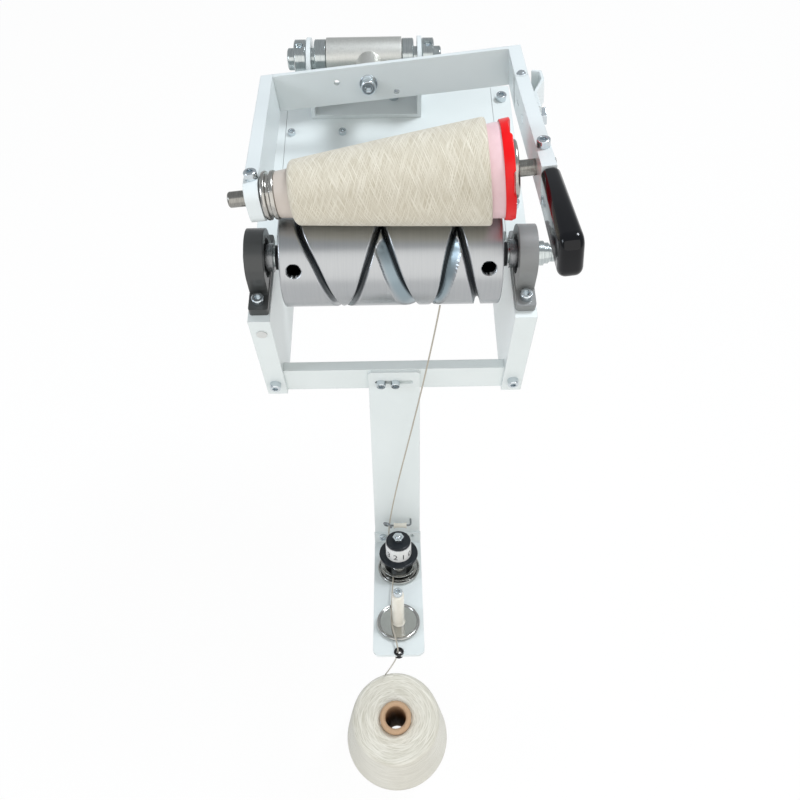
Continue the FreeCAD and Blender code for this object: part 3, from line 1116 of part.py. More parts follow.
def tensioner():
    """The disc tensioner: cup, stud, free discs, spring, and the dial knob that loads them."""
    stud, stud_bore = "stud_width / 2", "stud_width / 2 + run_gap"
    wide, wall, hub = "cup_width / 2", "cup_wall", "cup_hub_width / 2"
    seat = f"{stud} + seat_gap"
    cup = turned("tension_cup", [
        (seat, 0), (f"{wide} - {wall}", 0), (wide, wall), (wide, "cup_height"),
        (f"{wide} - {wall}", "cup_height"), (f"{wide} - {wall}", wall), (hub, wall),
        (hub, "cup_hub_height"), (seat, "cup_hub_height")])
    node("tension_cup", cup, on_tensioner())
    top = "knob_up + knob_wall + band_length + cap_wall"
    foot = "-shelf_wall - stud_foot"
    post = turned("tension_stud", [
        (0, foot), (stud, foot), (stud, f"{top} + stud_proud - spindle_edge"),
        (f"{stud} - spindle_edge", f"{top} + stud_proud"), (0, f"{top} + stud_proud")])
    node("tension_stud", post, on_tensioner())
    nut_up = size.knob_up + size.knob_wall + size.band_length + size.cap_wall + size.slip_gap
    nuts = [hex_nut("stud_top_nut", "stud_width", on_tensioner(nut_up)),
            hex_nut("stud_foot_nut", "stud_width",
                    on_tensioner(-size.shelf_wall) * at(turn=towards(0, 0, -1)))]
    node("stud_nuts", group("stud_nuts", *nuts))
    start = size.cup_hub_height + size.slip_gap
    pitch = size.disc_pair_wall + size.disc_pair_gap
    rim, thick, flare = "disc_pair_width / 2", "disc_pair_wall", "disc_pair_flare"
    flat = f"{rim} - disc_pair_lip"
    lower = turned("tension_disc_lower", [(stud_bore, 0), (rim, 0), (rim, thick), (stud_bore, thick)])
    lower.Placement = on_tensioner(start)
    collar = f"{thick} + disc_hub_height"
    boss = "spring_width / 2"
    upper = turned("tension_disc_upper", [
        (stud_bore, 0), (flat, 0), (rim, flare), (rim, f"{flare} + {thick}"), (flat, thick), (boss, thick),
        (boss, collar), (stud_bore, collar)])
    upper.Placement = on_tensioner(start + pitch)
    node("tension_discs", group("tension_discs", lower, upper))
    spring(start + pitch + size.disc_pair_wall + size.disc_hub_height)
    knob, band, deep = "knob_width / 2", "band_width / 2", "knob_up + knob_wall"
    cap, crown, core = "cap_width / 2", f"{deep} + band_length", f"{band} - dial_skin - seat_gap"
    dial = turned("tension_knob", [
        (stud_bore, "knob_up"), (f"{knob} - dial_edge", "knob_up"), (knob, "knob_up + dial_edge"),
        (knob, f"{deep} - dial_edge"), (f"{knob} - dial_edge", deep), (core, deep), (core, crown),
        (cap, crown), (cap, f"{crown} + cap_wall - dial_edge"), (f"{cap} - dial_edge", f"{crown} + cap_wall"),
        (stud_bore, f"{crown} + cap_wall")])
    node("tension_knob", dial, on_tensioner())
    node("dial_band", tube("dial_band", band, f"{band} - dial_skin", "band_length",
                           on_tensioner(size.knob_up + size.knob_wall)))


def spring(start):
    """The compression spring between the upper disc and the knob."""
    length = size.knob_up - start - 2 * size.slip_gap
    radius = (size.spring_width - size.spring_wire) / 2
    pitch = (length - size.spring_wire) / size.spring_turns
    helix = Part.makeHelix(pitch, pitch * size.spring_turns, radius)
    helix.translate(Vector(0, 0, size.spring_wire / 2))
    section = Part.Wire(Part.Circle(Vector(radius, 0, size.spring_wire / 2), Vector(0, 1, 0),
                                    size.spring_wire / 2).toShape())
    thing = doc.addObject("Part::Feature", "tension_spring")
    thing.Shape = Part.Wire(helix).makePipeShell([section], True, True)
    node("tension_spring", thing, on_tensioner(start + size.slip_gap))


def pipe(name, points, radius, bend):
    """A round wire along straight runs joined by tangent arcs; a wire, ready to be swept."""
    edges = []
    here = points[0]
    for i in range(1, len(points) - 1):
        before, corner, after = points[i - 1], points[i], points[i + 1]
        come, leave = (before - corner).normalize(), (after - corner).normalize()
        half_turn = (math.pi - come.getAngle(leave)) / 2
        shorter = min((before - corner).Length, (after - corner).Length)
        arc_radius = bend(shorter, half_turn)
        trim = arc_radius * math.tan(half_turn)
        start, end = corner + come * trim, corner + leave * trim
        middle = (come + leave).normalize()
        apex = corner + middle * (arc_radius / math.cos(half_turn) - arc_radius)
        edges.append(Part.LineSegment(here, start).toShape())
        edges.append(Part.Arc(start, apex, end).toShape())
        here = end
    edges.append(Part.LineSegment(here, points[-1]).toShape())
    path = Part.Wire(edges)
    direction = (points[1] - points[0]).normalize()
    section = Part.Wire(Part.Circle(points[0], direction, radius).toShape())
    thing = doc.addObject("Part::Feature", name)
    thing.Shape = path.makePipeShell([section], True, False)
    ratio = thing.Shape.Volume / (math.pi * radius ** 2 * path.Length)
    print(f"{name}: length {path.Length:.1f} mm, volume over section times length {ratio:.4f}")
    return thing


def wire_bend(radius):
    """Arcs of one radius, as a formed wire has."""
    return lambda shorter, half_turn: min(radius, BEND_SHARE * shorter / math.tan(half_turn))


def pigtail_guide():
    """The wire hook and the ceramic guide that hold the yarn in front of the plate."""
    base = face_on_plate(size.guide_side, size.guide_up)
    out, half = size.guide_out, size.guide_length / 2
    foot, curl = half + size.hook_reach / 2, half + size.hook_reach
    side, high, rise_up, mouth = size.curl_side, size.curl_height, size.curl_rise, size.curl_mouth
    loop = [base.multVec(Vector(*point)) for point in (
        (foot, 0, 0), (foot, 0, out), (-curl, 0, out), (-curl - side, high - side, out + rise_up),
        (mouth - side - curl, high, out + 3 * rise_up), (mouth - curl, high / 2, out + 4 * rise_up))]
    node("pigtail_hook", pipe("pigtail_hook", loop, size.hook_wire / 2, wire_bend(size.hook_bend)))
    bore, wide, waist = "hook_wire / 2 + seat_gap", "guide_width / 2", "guide_waist / 2"
    bead = turned("guide_ceramic", [
        (bore, 0), (wide, 0), (waist, "guide_length / 4"), (waist, "guide_length * 3 / 4"),
        (wide, "guide_length"), (bore, "guide_length")])
    node("guide_ceramic", bead, base * at(-half, 0, out, ALONG_X))


# ---------------------------------------------------------------- supply package and yarn
def supply():
    """The supply package: a wound taper on its cardboard tube."""
    place = at(size.supply_offset, front - size.supply_front, -size.supply_base_down)
    edge, tall = "supply_edge", "supply_height"
    yarn = turned("supply_yarn", [
        ("supply_yarn_bore / 2", 0), (f"supply_base_width / 2 - {edge}", 0), ("supply_base_width / 2", edge),
        ("supply_top_width / 2", f"{tall} - {edge}"), (f"supply_top_width / 2 - {edge}", tall),
        ("supply_yarn_bore / 2", tall)])
    node("supply_yarn", yarn, place)
    bore, wide, edge = "supply_tube_bore / 2", "supply_tube_width / 2", "supply_tube_edge"
    top = f"{tall} + supply_tube_rise"
    core = turned("supply_tube", [
        (bore, 0), (wide, 0), (wide, f"{top} - {edge}"), (f"{wide} - {edge}", top), (f"{bore} + {edge}", top),
        (bore, f"{top} - {edge}")])
    node("supply_tube", core, place)


def cord_bend(shorter, half_turn):
    """Each bend of the yarn takes the same share of its shorter run."""
    return BEND_SHARE * shorter / math.tan(half_turn)


# The yarn's route, in millimetres: up from the package, through the eyelet, over the saucer, past the
# post, between the discs, through the hook, and up to the drum's lower front.
YARN = [
    (-18.1, -324.0, -357.0), (-15.1, -324.8, -340.0), (-1.3, -351.1, -136.7),
    (-0.6, -346.7, -124.5), (-2.8, -336.4, -126.0), (-8.0, -316.8, -132.9),
    (-3.8, -255.7, -156.5), (-6.5, -235.8, -163.4), (-10.8, -216.7, -138.2),
    (29.7, -154.5, 65.0), (38.6, -130.3, 117.5),
]


def yarn():
    """The running yarn, taut from the package to the drum."""
    node("yarn", pipe("yarn", [Vector(*point) for point in YARN], size.yarn_width / 2, cord_bend))


def check_and_write():
    """Stop on any failed object, then write one STEP file for each sub-part."""
    doc.recompute()
    failed = [item.Name for item in doc.Objects if {"Invalid", "Error"} & set(item.State)]
    if failed:
        raise RuntimeError(f"failed objects: {failed}")
    for name, thing in nodes.items():
        if thing.Shape.isNull() or not thing.Shape.isValid() or not thing.Shape.Solids:
            raise RuntimeError(f"{name} has no valid solid")
    os.makedirs("parts", exist_ok=True)
    for name, thing in nodes.items():
        thing.Shape.exportStep(os.path.join("parts", name + ".step"))
    print(f"{len(nodes)} sub-parts written, cradle rise {rise:.2f} degrees")


for side, sign in SIDES:
    side_plate(side, sign)
front_bar()
tie_bars()
top_cover()
frame_screws()
drum()
drum_shaft()
for side, sign in SIDES:
    pillow_block(side, sign)
bearings()
pillow_screws()
pivot_bracket()
pivot_shaft()
pivot_sleeve()
yoke_bolt()
crossbar()
left_arm()
left_spindle()
lever()
lever_guard()
lever_pin()
lever_spindle()
grip()
cone()
small_end_chuck()
base_chuck()
feed_plate()
tension_shelf()
eyelet()
lower_post()
tensioner()
pigtail_guide()
supply()
yarn()
check_and_write()
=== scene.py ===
# %% [markdown]
# # Dressing a yarn cone winder
#
# The machine winds cotton from a supply package onto a cone. The solids come from CAD, each at its
# real size and place, and this lesson gives them their surfaces, adds the pieces that need finer
# modelling, and sets up a plain studio round them. Every length is in metres.

# %% Load the model
import json
import math
import bmesh
import bpy
from mathutils import Matrix, Vector


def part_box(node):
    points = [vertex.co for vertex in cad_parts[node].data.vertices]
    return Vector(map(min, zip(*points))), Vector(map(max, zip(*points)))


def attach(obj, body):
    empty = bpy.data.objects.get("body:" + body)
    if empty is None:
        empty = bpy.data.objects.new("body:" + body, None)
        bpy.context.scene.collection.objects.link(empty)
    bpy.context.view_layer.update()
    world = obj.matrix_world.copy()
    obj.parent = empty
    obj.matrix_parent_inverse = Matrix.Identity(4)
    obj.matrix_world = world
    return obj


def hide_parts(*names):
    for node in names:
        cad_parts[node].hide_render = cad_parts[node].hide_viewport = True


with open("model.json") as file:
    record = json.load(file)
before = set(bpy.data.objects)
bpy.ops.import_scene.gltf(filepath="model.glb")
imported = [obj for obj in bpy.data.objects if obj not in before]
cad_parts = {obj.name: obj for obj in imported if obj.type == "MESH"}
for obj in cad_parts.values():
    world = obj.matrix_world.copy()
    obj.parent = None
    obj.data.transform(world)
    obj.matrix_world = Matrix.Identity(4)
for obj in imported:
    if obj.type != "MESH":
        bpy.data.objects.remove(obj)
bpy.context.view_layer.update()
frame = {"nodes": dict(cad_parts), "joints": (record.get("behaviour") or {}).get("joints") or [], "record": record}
MM = 0.001
record = frame["record"]
joints = {joint["name"]: joint for joint in frame["joints"]}

# %% [markdown]
# ## The camera
#
# The camera looks down on the machine from the operator's side. A camera can be aimed with a
# Track To constraint, but then its small roll can't be set. Here the three directions of the camera
# are written down as the columns of its matrix, so the pitch and the roll are exact.

# %% The camera
PITCH = math.radians(59.8)
ROLL = math.radians(0.95)
LENS_PIXELS = 786.0
FRAME_PIXELS = 800.0
CAMERA_MM = (5.0, -515.0, 627.8)

ahead = Vector((0, math.cos(PITCH), -math.sin(PITCH)))
level_up = Vector((0, math.sin(PITCH), math.cos(PITCH)))
level_right = Vector((1, 0, 0))
right = level_right * math.cos(ROLL) - level_up * math.sin(ROLL)
up = level_right * math.sin(ROLL) + level_up * math.cos(ROLL)
turn = Matrix((right, up, -ahead)).transposed().to_4x4()

camera_data = bpy.data.cameras.new("camera")
camera = bpy.data.objects.new("camera", camera_data)
bpy.context.collection.objects.link(camera)
camera_data.sensor_width = 36.0
camera_data.lens = LENS_PIXELS / FRAME_PIXELS * camera_data.sensor_width
camera_data.clip_end = 20.0
camera.matrix_world = Matrix.Translation([c * MM for c in CAMERA_MM]) @ turn
bpy.context.scene.camera = camera
print("lens", round(camera_data.lens, 2), "mm, camera", tuple(round(c, 3) for c in camera.location))

# %% [markdown]
# ## Helpers for materials
#
# A material is a small network of nodes. Colours are picked as sRGB hex values, because those can be
# compared with any picture, but the shader works in linear light, so one function turns them. One
# more function adds a node with its settings and its links, which keeps each network readable.

# %% Helpers for materials
def colour(hex_text):
    """The linear colour of an sRGB hex value."""
    parts = [int(hex_text[i:i + 2], 16) / 255 for i in (1, 3, 5)]
    return [c / 12.92 if c <= 0.04045 else ((c + 0.055) / 1.055) ** 2.4 for c in parts] + [1.0]


def add_node(material, kind, inputs=(), **settings):
    """Add one node; inputs is a list of (socket, value or other node's output)."""
    node = material.node_tree.nodes.new(kind)
    for name, value in settings.items():
        setattr(node, name, value)
    for socket, value in inputs:
        if isinstance(value, bpy.types.NodeSocket):
            material.node_tree.links.new(value, node.inputs[socket])
        else:
            node.inputs[socket].default_value = value
    return node


def new_material(name):
    """An empty material and its output node."""
    material = bpy.data.materials.new(name)
    material.use_nodes = True
    material.node_tree.nodes.clear()
    return material, add_node(material, "ShaderNodeOutputMaterial")


def per_mm(spacing):
    """The scale of a pattern on Object coordinates whose detail repeats at this spacing in mm."""
    return 1 / (spacing * MM)


print("white is", [round(c, 3) for c in colour("#FFFFFF")[:3]])

# %% [markdown]
# ## The running yarn
#
# Cotton yarn comes up from the package, passes the eyelet, the post and the discs of the tensioner,
# goes through the wire hook and runs up to the drum. It is held taut, so it is almost straight
# between its guides. A curve follows that best: a few control points of a NURBS spline, with a round
# bevel for the yarn's thickness. A mesh tube would need a vertex ring at each bend.

# %% Yarn material
# Ecru carded cotton, spun: matt, with short fibres that blur its colour. Its darker tone is darker than
# the yarn's own ecru, as painted shade. The twist is 1.2 mm long on the real yarn and is drawn at that size.
yarn_cotton, out = new_material("ecru_carded_cotton_spun")
place = add_node(yarn_cotton, "ShaderNodeTexCoord")
fibres = add_node(yarn_cotton, "ShaderNodeTexNoise", [("Vector", place.outputs["Object"]),
                  ("Scale", per_mm(0.6)), ("Detail", 3.0)])
# Painted shade: the dark fibre tone stands below the yarn's own ecru.
tone = add_node(yarn_cotton, "ShaderNodeMix", [(0, fibres.outputs["Fac"]), (6, colour("#8F887B")),
                (7, colour("#CBC4B5"))], data_type="RGBA")
twist = add_node(yarn_cotton, "ShaderNodeBump", [("Height", fibres.outputs["Fac"]), ("Strength", 0.6),
                 ("Distance", 0.3 * MM)])
shade = add_node(yarn_cotton, "ShaderNodeBsdfPrincipled", [("Base Color", tone.outputs[2]),
                 ("Roughness", 0.9), ("Sheen Weight", 0.3), ("Normal", twist.outputs["Normal"])])
yarn_cotton.node_tree.links.new(shade.outputs[0], out.inputs[0])

# %% The running yarn
YARN_MM = [
    (-18.1, -324.0, -357.0), (-15.1, -324.8, -340.0), (-1.3, -351.1, -136.7),
    (-0.6, -346.7, -124.5), (-2.8, -336.4, -126.0), (-8.0, -316.8, -132.9),
    (-3.8, -255.7, -156.5), (-6.5, -235.8, -163.4), (-10.8, -216.7, -138.2),
    (29.7, -154.5, 65.0), (38.6, -130.3, 117.5),
]
YARN_WIDTH = 1.4 * MM

curve = bpy.data.curves.new("running_yarn", "CURVE")
curve.dimensions = "3D"
curve.bevel_depth = YARN_WIDTH / 2
curve.bevel_resolution = 3
curve.resolution_u = 16
curve.use_fill_caps = True
spline = curve.splines.new("NURBS")
spline.points.add(len(YARN_MM) - 1)
for point, spot in zip(spline.points, YARN_MM):
    point.co = (*(c * MM for c in spot), 1.0)
spline.order_u = 3
spline.use_endpoint_u = True
running_yarn = bpy.data.objects.new("running_yarn", curve)
bpy.context.collection.objects.link(running_yarn)
curve.materials.append(yarn_cotton)
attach(running_yarn, "frame")
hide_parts("yarn")
print("yarn spline has", len(spline.points), "control points")

# %% [markdown]
# ## The studio
#
# A plain white floor and a white world make the background. Their light on the object would wash it
# out, so the world is brighter only for rays from the camera and for reflections, which Light Path
# can tell apart. The key lamp stands above and to the right, a window at the left opens the shadows,
# and a broad lamp in front lights what faces the operator.

# %% The studio
FLOOR_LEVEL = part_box("supply_yarn")[0][2]
WHITE = (1.0, 1.0, 1.0, 1.0)
FLOOR_GLOW = 0.94
SOFT_LIGHT = 0.5
FLOOR_HALF = 4.0

floor_paper, out = new_material("white_paper_floor")
path = add_node(floor_paper, "ShaderNodeLightPath")
seen = add_node(floor_paper, "ShaderNodeMath", [(0, path.outputs["Is Camera Ray"]),
                (1, path.outputs["Is Glossy Ray"])], operation="MAXIMUM")
seen = add_node(floor_paper, "ShaderNodeMath", [(0, seen.outputs[0]),
                (1, path.outputs["Is Transmission Ray"])], operation="MAXIMUM")
share = add_node(floor_paper, "ShaderNodeMath", [(0, seen.outputs[0]), (1, FLOOR_GLOW)],
                 operation="MULTIPLY")
paper = add_node(floor_paper, "ShaderNodeBsdfDiffuse", [("Color", colour("#F7F7F6"))])
glow = add_node(floor_paper, "ShaderNodeEmission", [("Color", WHITE), ("Strength", 1.0)])
both = add_node(floor_paper, "ShaderNodeMixShader", [(0, share.outputs[0]), (1, paper.outputs[0]),
                (2, glow.outputs[0])])
floor_paper.node_tree.links.new(both.outputs[0], out.inputs[0])

bm = bmesh.new()
bmesh.ops.create_grid(bm, x_segments=1, y_segments=1, size=FLOOR_HALF)
bmesh.ops.translate(bm, verts=bm.verts, vec=(0, 0, FLOOR_LEVEL))
floor_mesh = bpy.data.meshes.new("floor")
bm.to_mesh(floor_mesh)
bm.free()
floor = bpy.data.objects.new("floor", floor_mesh)
bpy.context.collection.objects.link(floor)
floor_mesh.materials.append(floor_paper)

world = bpy.data.worlds.new("studio")
bpy.context.scene.world = world
world.use_nodes = True
world.node_tree.nodes.clear()
out = add_node(world, "ShaderNodeOutputWorld")
path = add_node(world, "ShaderNodeLightPath")
seen = add_node(world, "ShaderNodeMath", [(0, path.outputs["Is Camera Ray"]),
                (1, path.outputs["Is Transmission Ray"])], operation="MAXIMUM")
soft = add_node(world, "ShaderNodeBackground", [("Color", colour("#F4F8FC")), ("Strength", SOFT_LIGHT)])
white = add_node(world, "ShaderNodeBackground", [("Color", WHITE), ("Strength", 1.0)])
both = add_node(world, "ShaderNodeMixShader", [(0, seen.outputs[0]), (1, soft.outputs[0]),
                (2, white.outputs[0])])
world.node_tree.links.new(both.outputs[0], out.inputs[0])


def lamp(name, spot, aim, width, height, watts, tint):
    """A soft rectangular lamp aimed at a point."""
    data = bpy.data.lights.new(name, "AREA")
    data.shape = "RECTANGLE"
    data.size = width
    data.size_y = height
    data.energy = watts
    data.color = colour(tint)[:3]
    thing = bpy.data.objects.new(name, data)
    bpy.context.collection.objects.link(thing)
    thing.location = spot
    thing.rotation_euler = (Vector(aim) - Vector(spot)).to_track_quat("-Z", "Y").to_euler()
    print(name, watts, "W over", width, "by", height, "m")


lamp("key", (0.75, 0.45, 1.5), (0.0, 0.0, 0.1), 0.45, 0.45, 18.0, "#F4F9FF")
lamp("left_window", (-1.3, -0.4, 0.9), (0.0, 0.0, 0.1), 0.5, 0.5, 6.0, "#EAF3FF")
lamp("front_fill", (0.2, -1.6, 0.9), (0.0, 0.0, 0.0), 3.2, 2.4, 24.0, "#FFFBF6")
bpy.context.scene.view_settings.view_transform = "Standard"

# %% [markdown]
# ## Painted sheet and castings
#
# The frame is bent from sheet and stoved with off-white enamel. Real enamel is never dead flat: it
# has a faint orange peel, its gloss varies a little, and its edges are round. The orange peel is a
# bump from a fine noise; the round edges come from the Bevel node, which only bends the shading and
# leaves the CAD mesh alone.

# %% Painted sheet
def enamel(name, face, shadow, peel_mm, roughness, edge_mm):
    """Stoved enamel: two close tones in soft clouds, orange peel, and softened edges."""
    material, out = new_material(name)
    place = add_node(material, "ShaderNodeTexCoord")
    clouds = add_node(material, "ShaderNodeTexNoise", [("Vector", place.outputs["Object"]),
                      ("Scale", per_mm(60.0)), ("Detail", 2.0)])
    peel = add_node(material, "ShaderNodeTexNoise", [("Vector", place.outputs["Object"]),
                    ("Scale", per_mm(peel_mm)), ("Detail", 1.0)])
    tone = add_node(material, "ShaderNodeMix", [(0, clouds.outputs["Fac"]), (6, colour(shadow)),
                    (7, colour(face))], data_type="RGBA")
    gloss = add_node(material, "ShaderNodeMapRange", [("Value", clouds.outputs["Fac"]), (3, roughness - 0.06),
                     (4, roughness + 0.08)])
    edge = add_node(material, "ShaderNodeBevel", [("Radius", edge_mm * MM)], samples=4)
    bump = add_node(material, "ShaderNodeBump", [("Height", peel.outputs["Fac"]), ("Strength", 0.08),
                    ("Distance", 0.4 * MM), ("Normal", edge.outputs[0])])
    shade = add_node(material, "ShaderNodeBsdfPrincipled", [("Base Color", tone.outputs[2]),
                     ("Roughness", gloss.outputs[0]), ("Coat Weight", 0.25), ("Coat Roughness", 0.15),
                     ("Normal", bump.outputs["Normal"])])
    material.node_tree.links.new(shade.outputs[0], out.inputs[0])
    print(name, "face", face, "orange peel", peel_mm, "mm")
    return material


finishes = {}
# Polyester enamel on sheet: pale, faintly green-grey, half gloss.
finishes["frame_paint"] = enamel("off_white_stoved_enamel", "#E4EAE9", "#D8DFDE", 2.2, 0.38, 0.7)
# The same enamel on the arms, laid thicker over machined bar.
finishes["arm_paint"] = enamel("off_white_enamel_on_bar", "#E1E7E7", "#D2D9D9", 3.0, 0.34, 0.9)
# Grey hammered primer on the right block; a darker coat on the left one.
finishes["block_grey"] = enamel("grey_enamel_on_casting", "#8F9190", "#6E7070", 1.2, 0.45, 1.2)
finishes["block_iron"] = enamel("dark_enamel_on_casting", "#4A4C4B", "#2E3030", 1.2, 0.42, 1.2)

# %% [markdown]
# ## Steel, zinc and chrome
#
# Screws are zinc plated: bright, faintly blue, with a fine crystalline scatter. Shafts are ground
# and the drum is turned, so their scratches run round the axis and stretch each highlight along it.
# That could be drawn as thousands of rings; a noise squeezed along the axis gives the same streaks.

# %% Plated and ground steel
def plain_steel(name, light, dark, grain_mm, roughness, bump_share, stretch=(1.0, 1.0, 1.0), edge_mm=0.3):
    """Bare or plated steel: two tones and a gloss that both follow one stretched grain."""
    material, out = new_material(name)
    place = add_node(material, "ShaderNodeTexCoord")
    run = add_node(material, "ShaderNodeMapping", [("Vector", place.outputs["Object"]), ("Scale", stretch)])
    grain = add_node(material, "ShaderNodeTexNoise", [("Vector", run.outputs[0]), ("Scale", per_mm(grain_mm)),
                     ("Detail", 4.0), ("Roughness", 0.65)])
    tone = add_node(material, "ShaderNodeMix", [(0, grain.outputs["Fac"]), (6, colour(dark)),
                    (7, colour(light))], data_type="RGBA")
    gloss = add_node(material, "ShaderNodeMapRange", [("Value", grain.outputs["Fac"]), (3, roughness * 0.75),
                     (4, roughness * 1.3)])
    edge = add_node(material, "ShaderNodeBevel", [("Radius", edge_mm * MM)], samples=4)
    bump = add_node(material, "ShaderNodeBump", [("Height", grain.outputs["Fac"]), ("Strength", bump_share),
                    ("Distance", 0.1 * MM), ("Normal", edge.outputs[0])])
    shade = add_node(material, "ShaderNodeBsdfPrincipled", [("Base Color", tone.outputs[2]),
                     ("Metallic", 1.0), ("Roughness", gloss.outputs[0]), ("Normal", bump.outputs["Normal"])])
    material.node_tree.links.new(shade.outputs[0], out.inputs[0])
    print(name, "grain", grain_mm, "mm")
    return material


# Bright zinc with a clear passivate: cold white metal with a slight blue cast.
finishes["zinc_screw"] = plain_steel("bright_zinc_plate", "#E6ECEF", "#B4BEC4", 0.7, 0.2, 0.12)
# Ground carbon steel: grey, with fine scratches round its axis, which lies along X.
finishes["shaft_steel"] = plain_steel("ground_carbon_steel", "#DDE3E3", "#8B9494", 0.5, 0.2, 0.2,
                                      (1.0, 0.06, 0.06))
finishes["bearing_steel"] = plain_steel("ground_bearing_steel", "#A9ABAD", "#4A4C4E", 0.6, 0.25, 0.15,
                                        (1.0, 0.1, 0.1))
# Turned free-cutting steel, slightly warm where the tool has run.
finishes["chuck_steel"] = plain_steel("turned_mild_steel", "#D2D1CC", "#8A8680", 0.4, 0.22, 0.2,
                                      (1.0, 0.08, 0.08))
finishes["spindle_chrome"] = plain_steel("drawn_steel_bar", "#B5B4AE", "#5C5B57", 0.5, 0.24, 0.2,
                                         (1.0, 0.05, 0.05))
finishes["spring_wire"] = plain_steel("drawn_spring_wire", "#A8ADAF", "#5D6163", 0.4, 0.28, 0.2)
# Pressed steel with a polished nickel face: dark and light reflections with a soft scatter.
finishes["polished_steel"] = plain_steel("polished_nickel_on_steel", "#C9C9C6", "#9A9A96", 0.8, 0.16, 0.08)
# Machined iron: pale and matt, with open grain.
finishes["sleeve_iron"] = plain_steel("machined_grey_iron", "#E4E4DF", "#C3C4BF", 0.9, 0.45, 0.3,
                                      (1.0, 0.4, 0.4), 0.8)

# %% [markdown]
# ## Plastics, ceramic and board
#
# Dipped vinyl is thick, black and very glossy. The tube is moulded from translucent plastic and lets
# the light through its wall, the end ring is opaque red, the guides are glazed ceramic and the
# package stands on a tube of wound board. Each starts from one plastic network with its own numbers.

# %% Plastics, ceramic and board
def moulded(name, light, dark, grain_mm, roughness, bump_share, coat=0.0, glow_through=0.0, ior=1.5):
    """A moulded or glazed surface: close tones, a fine skin, and light through the wall if wanted."""
    material, out = new_material(name)
    place = add_node(material, "ShaderNodeTexCoord")
    skin = add_node(material, "ShaderNodeTexNoise", [("Vector", place.outputs["Object"]),
                    ("Scale", per_mm(grain_mm)), ("Detail", 3.0)])
    tone = add_node(material, "ShaderNodeMix", [(0, skin.outputs["Fac"]), (6, colour(dark)),
                    (7, colour(light))], data_type="RGBA")
    gloss = add_node(material, "ShaderNodeMapRange", [("Value", skin.outputs["Fac"]), (3, roughness * 0.8),
                     (4, roughness * 1.25)])
    bump = add_node(material, "ShaderNodeBump", [("Height", skin.outputs["Fac"]), ("Strength", bump_share),
                    ("Distance", 0.15 * MM)])
    shade = add_node(material, "ShaderNodeBsdfPrincipled", [("Base Color", tone.outputs[2]),
                     ("Roughness", gloss.outputs[0]), ("Coat Weight", coat), ("Coat Roughness", 0.05),
                     ("IOR", ior),
                     ("Transmission Weight", glow_through), ("Normal", bump.outputs["Normal"])])
    material.node_tree.links.new(shade.outputs[0], out.inputs[0])
    print(name, "skin", grain_mm, "mm")
    return material


# Dip-moulded PVC: blue-black, deep gloss, a slightly wavy skin.
finishes["grip_vinyl"] = moulded("dip_moulded_black_pvc", "#0C0D12", "#050608", 9.0, 0.1, 0.2, ior=1.36)
# Injection-moulded polypropylene, rose tinted and translucent.
finishes["tube_pink"] = moulded("translucent_rose_polypropylene", "#E9C3C6", "#D9A9B0", 20.0, 0.3, 0.05,
                                0.2, 0.25)
finishes["ring_red"] = moulded("red_polypropylene", "#EE0008", "#D80006", 12.0, 0.32, 0.06, ior=1.4)
# Glazed alumina: cream, hard gloss.
finishes["ceramic"] = moulded("glazed_alumina", "#ECE8DC", "#DBD6C8", 5.0, 0.22, 0.08, 0.5)
# Polished black ceramic: near black, hard mirror gloss.
finishes["black_ceramic"] = moulded("polished_black_zirconia", "#15181B", "#0B0D0F", 3.0, 0.1, 0.05)
finishes["dial_black"] = moulded("moulded_phenolic_black", "#161E26", "#0A0F14", 1.0, 0.3, 0.12, ior=1.42)
finishes["dial_white"] = moulded("white_acetal_band", "#E9EAE8", "#DCDDDB", 2.0, 0.35, 0.05)
finishes["plug_plastic"] = moulded("moulded_nylon_plug", "#DADBD8", "#C6C7C4", 2.0, 0.45, 0.1)
# Spiral-wound kraft board: tan, matt, with flecks of fibre.
finishes["tube_board"] = moulded("wound_kraft_board", "#C9A98A", "#A98968", 1.1, 0.8, 0.5)

# %% [markdown]
# ## Putting the finishes on the CAD nodes
#
# The record names a material slot for every node, so a loop can dress them all. The nodes that get a
# finer piece of their own are hidden later, by the piece that replaces them.

# %% Dress the CAD nodes
finishes["yarn_cotton"] = yarn_cotton
finishes["drum_steel"] = finishes["shaft_steel"]
for entry in record["subparts"]:
    thing = frame["nodes"][entry["node"]]
    for spare in thing.material_slots:
        spare.material = finishes[entry["material_slot"]]
print(len(record["subparts"]), "nodes dressed with", len(finishes), "finishes")
slot_of = {entry["node"]: entry["material_slot"] for entry in record["subparts"]}
body_of = {name: body for body, names in record["behaviour"]["bodies"].items() for name in names}

# %% Helpers for new pieces
def make_piece(name, bm, body, material, slot, *replaced):
    """Turn a bmesh into a finished piece on its body, in place of the CAD nodes named."""
    mesh = bpy.data.meshes.new(name)
    bm.to_mesh(mesh)
    bm.free()
    mesh.materials.append(material)
    piece = bpy.data.objects.new(name, mesh)
    bpy.context.collection.objects.link(piece)
    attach(piece, body)
    if replaced:
        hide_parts(*replaced)
    print(name, len(mesh.polygons), "faces on", body)
    return piece


def axis_place(joint, side=Vector((0, 0, 1))):
    """The place whose +Z is a joint's axis, with its own +X as near to side as it can be."""
    z = Vector(joint["axis"]).normalized()
    x = (side - z * side.dot(z)).normalized()
    turn = Matrix((x, z.cross(x), z)).transposed().to_4x4()
    return Matrix.Translation(joint["pos_m"]) @ turn


print("cone axis", [round(c, 3) for c in joints["cone_spin"]["axis"]])

# %% [markdown]
# ## Screws, nuts and pressed parts with eased edges
#
# Real screws have rolled and tumbled edges that catch a thin line of light. The CAD meshes are flat
# triangles with knife edges. A copy of each is welded, its flat triangles are joined into whole
# faces and its round faces are shaded smooth. A Bevel modifier then eases what stays sharp, and a
# Weighted Normal modifier keeps the large faces flat beside it.

# %% Eased copies of the fasteners and shafts
SHARP = math.radians(32)
FLAT = math.radians(0.6)
WELD_MM = 0.003


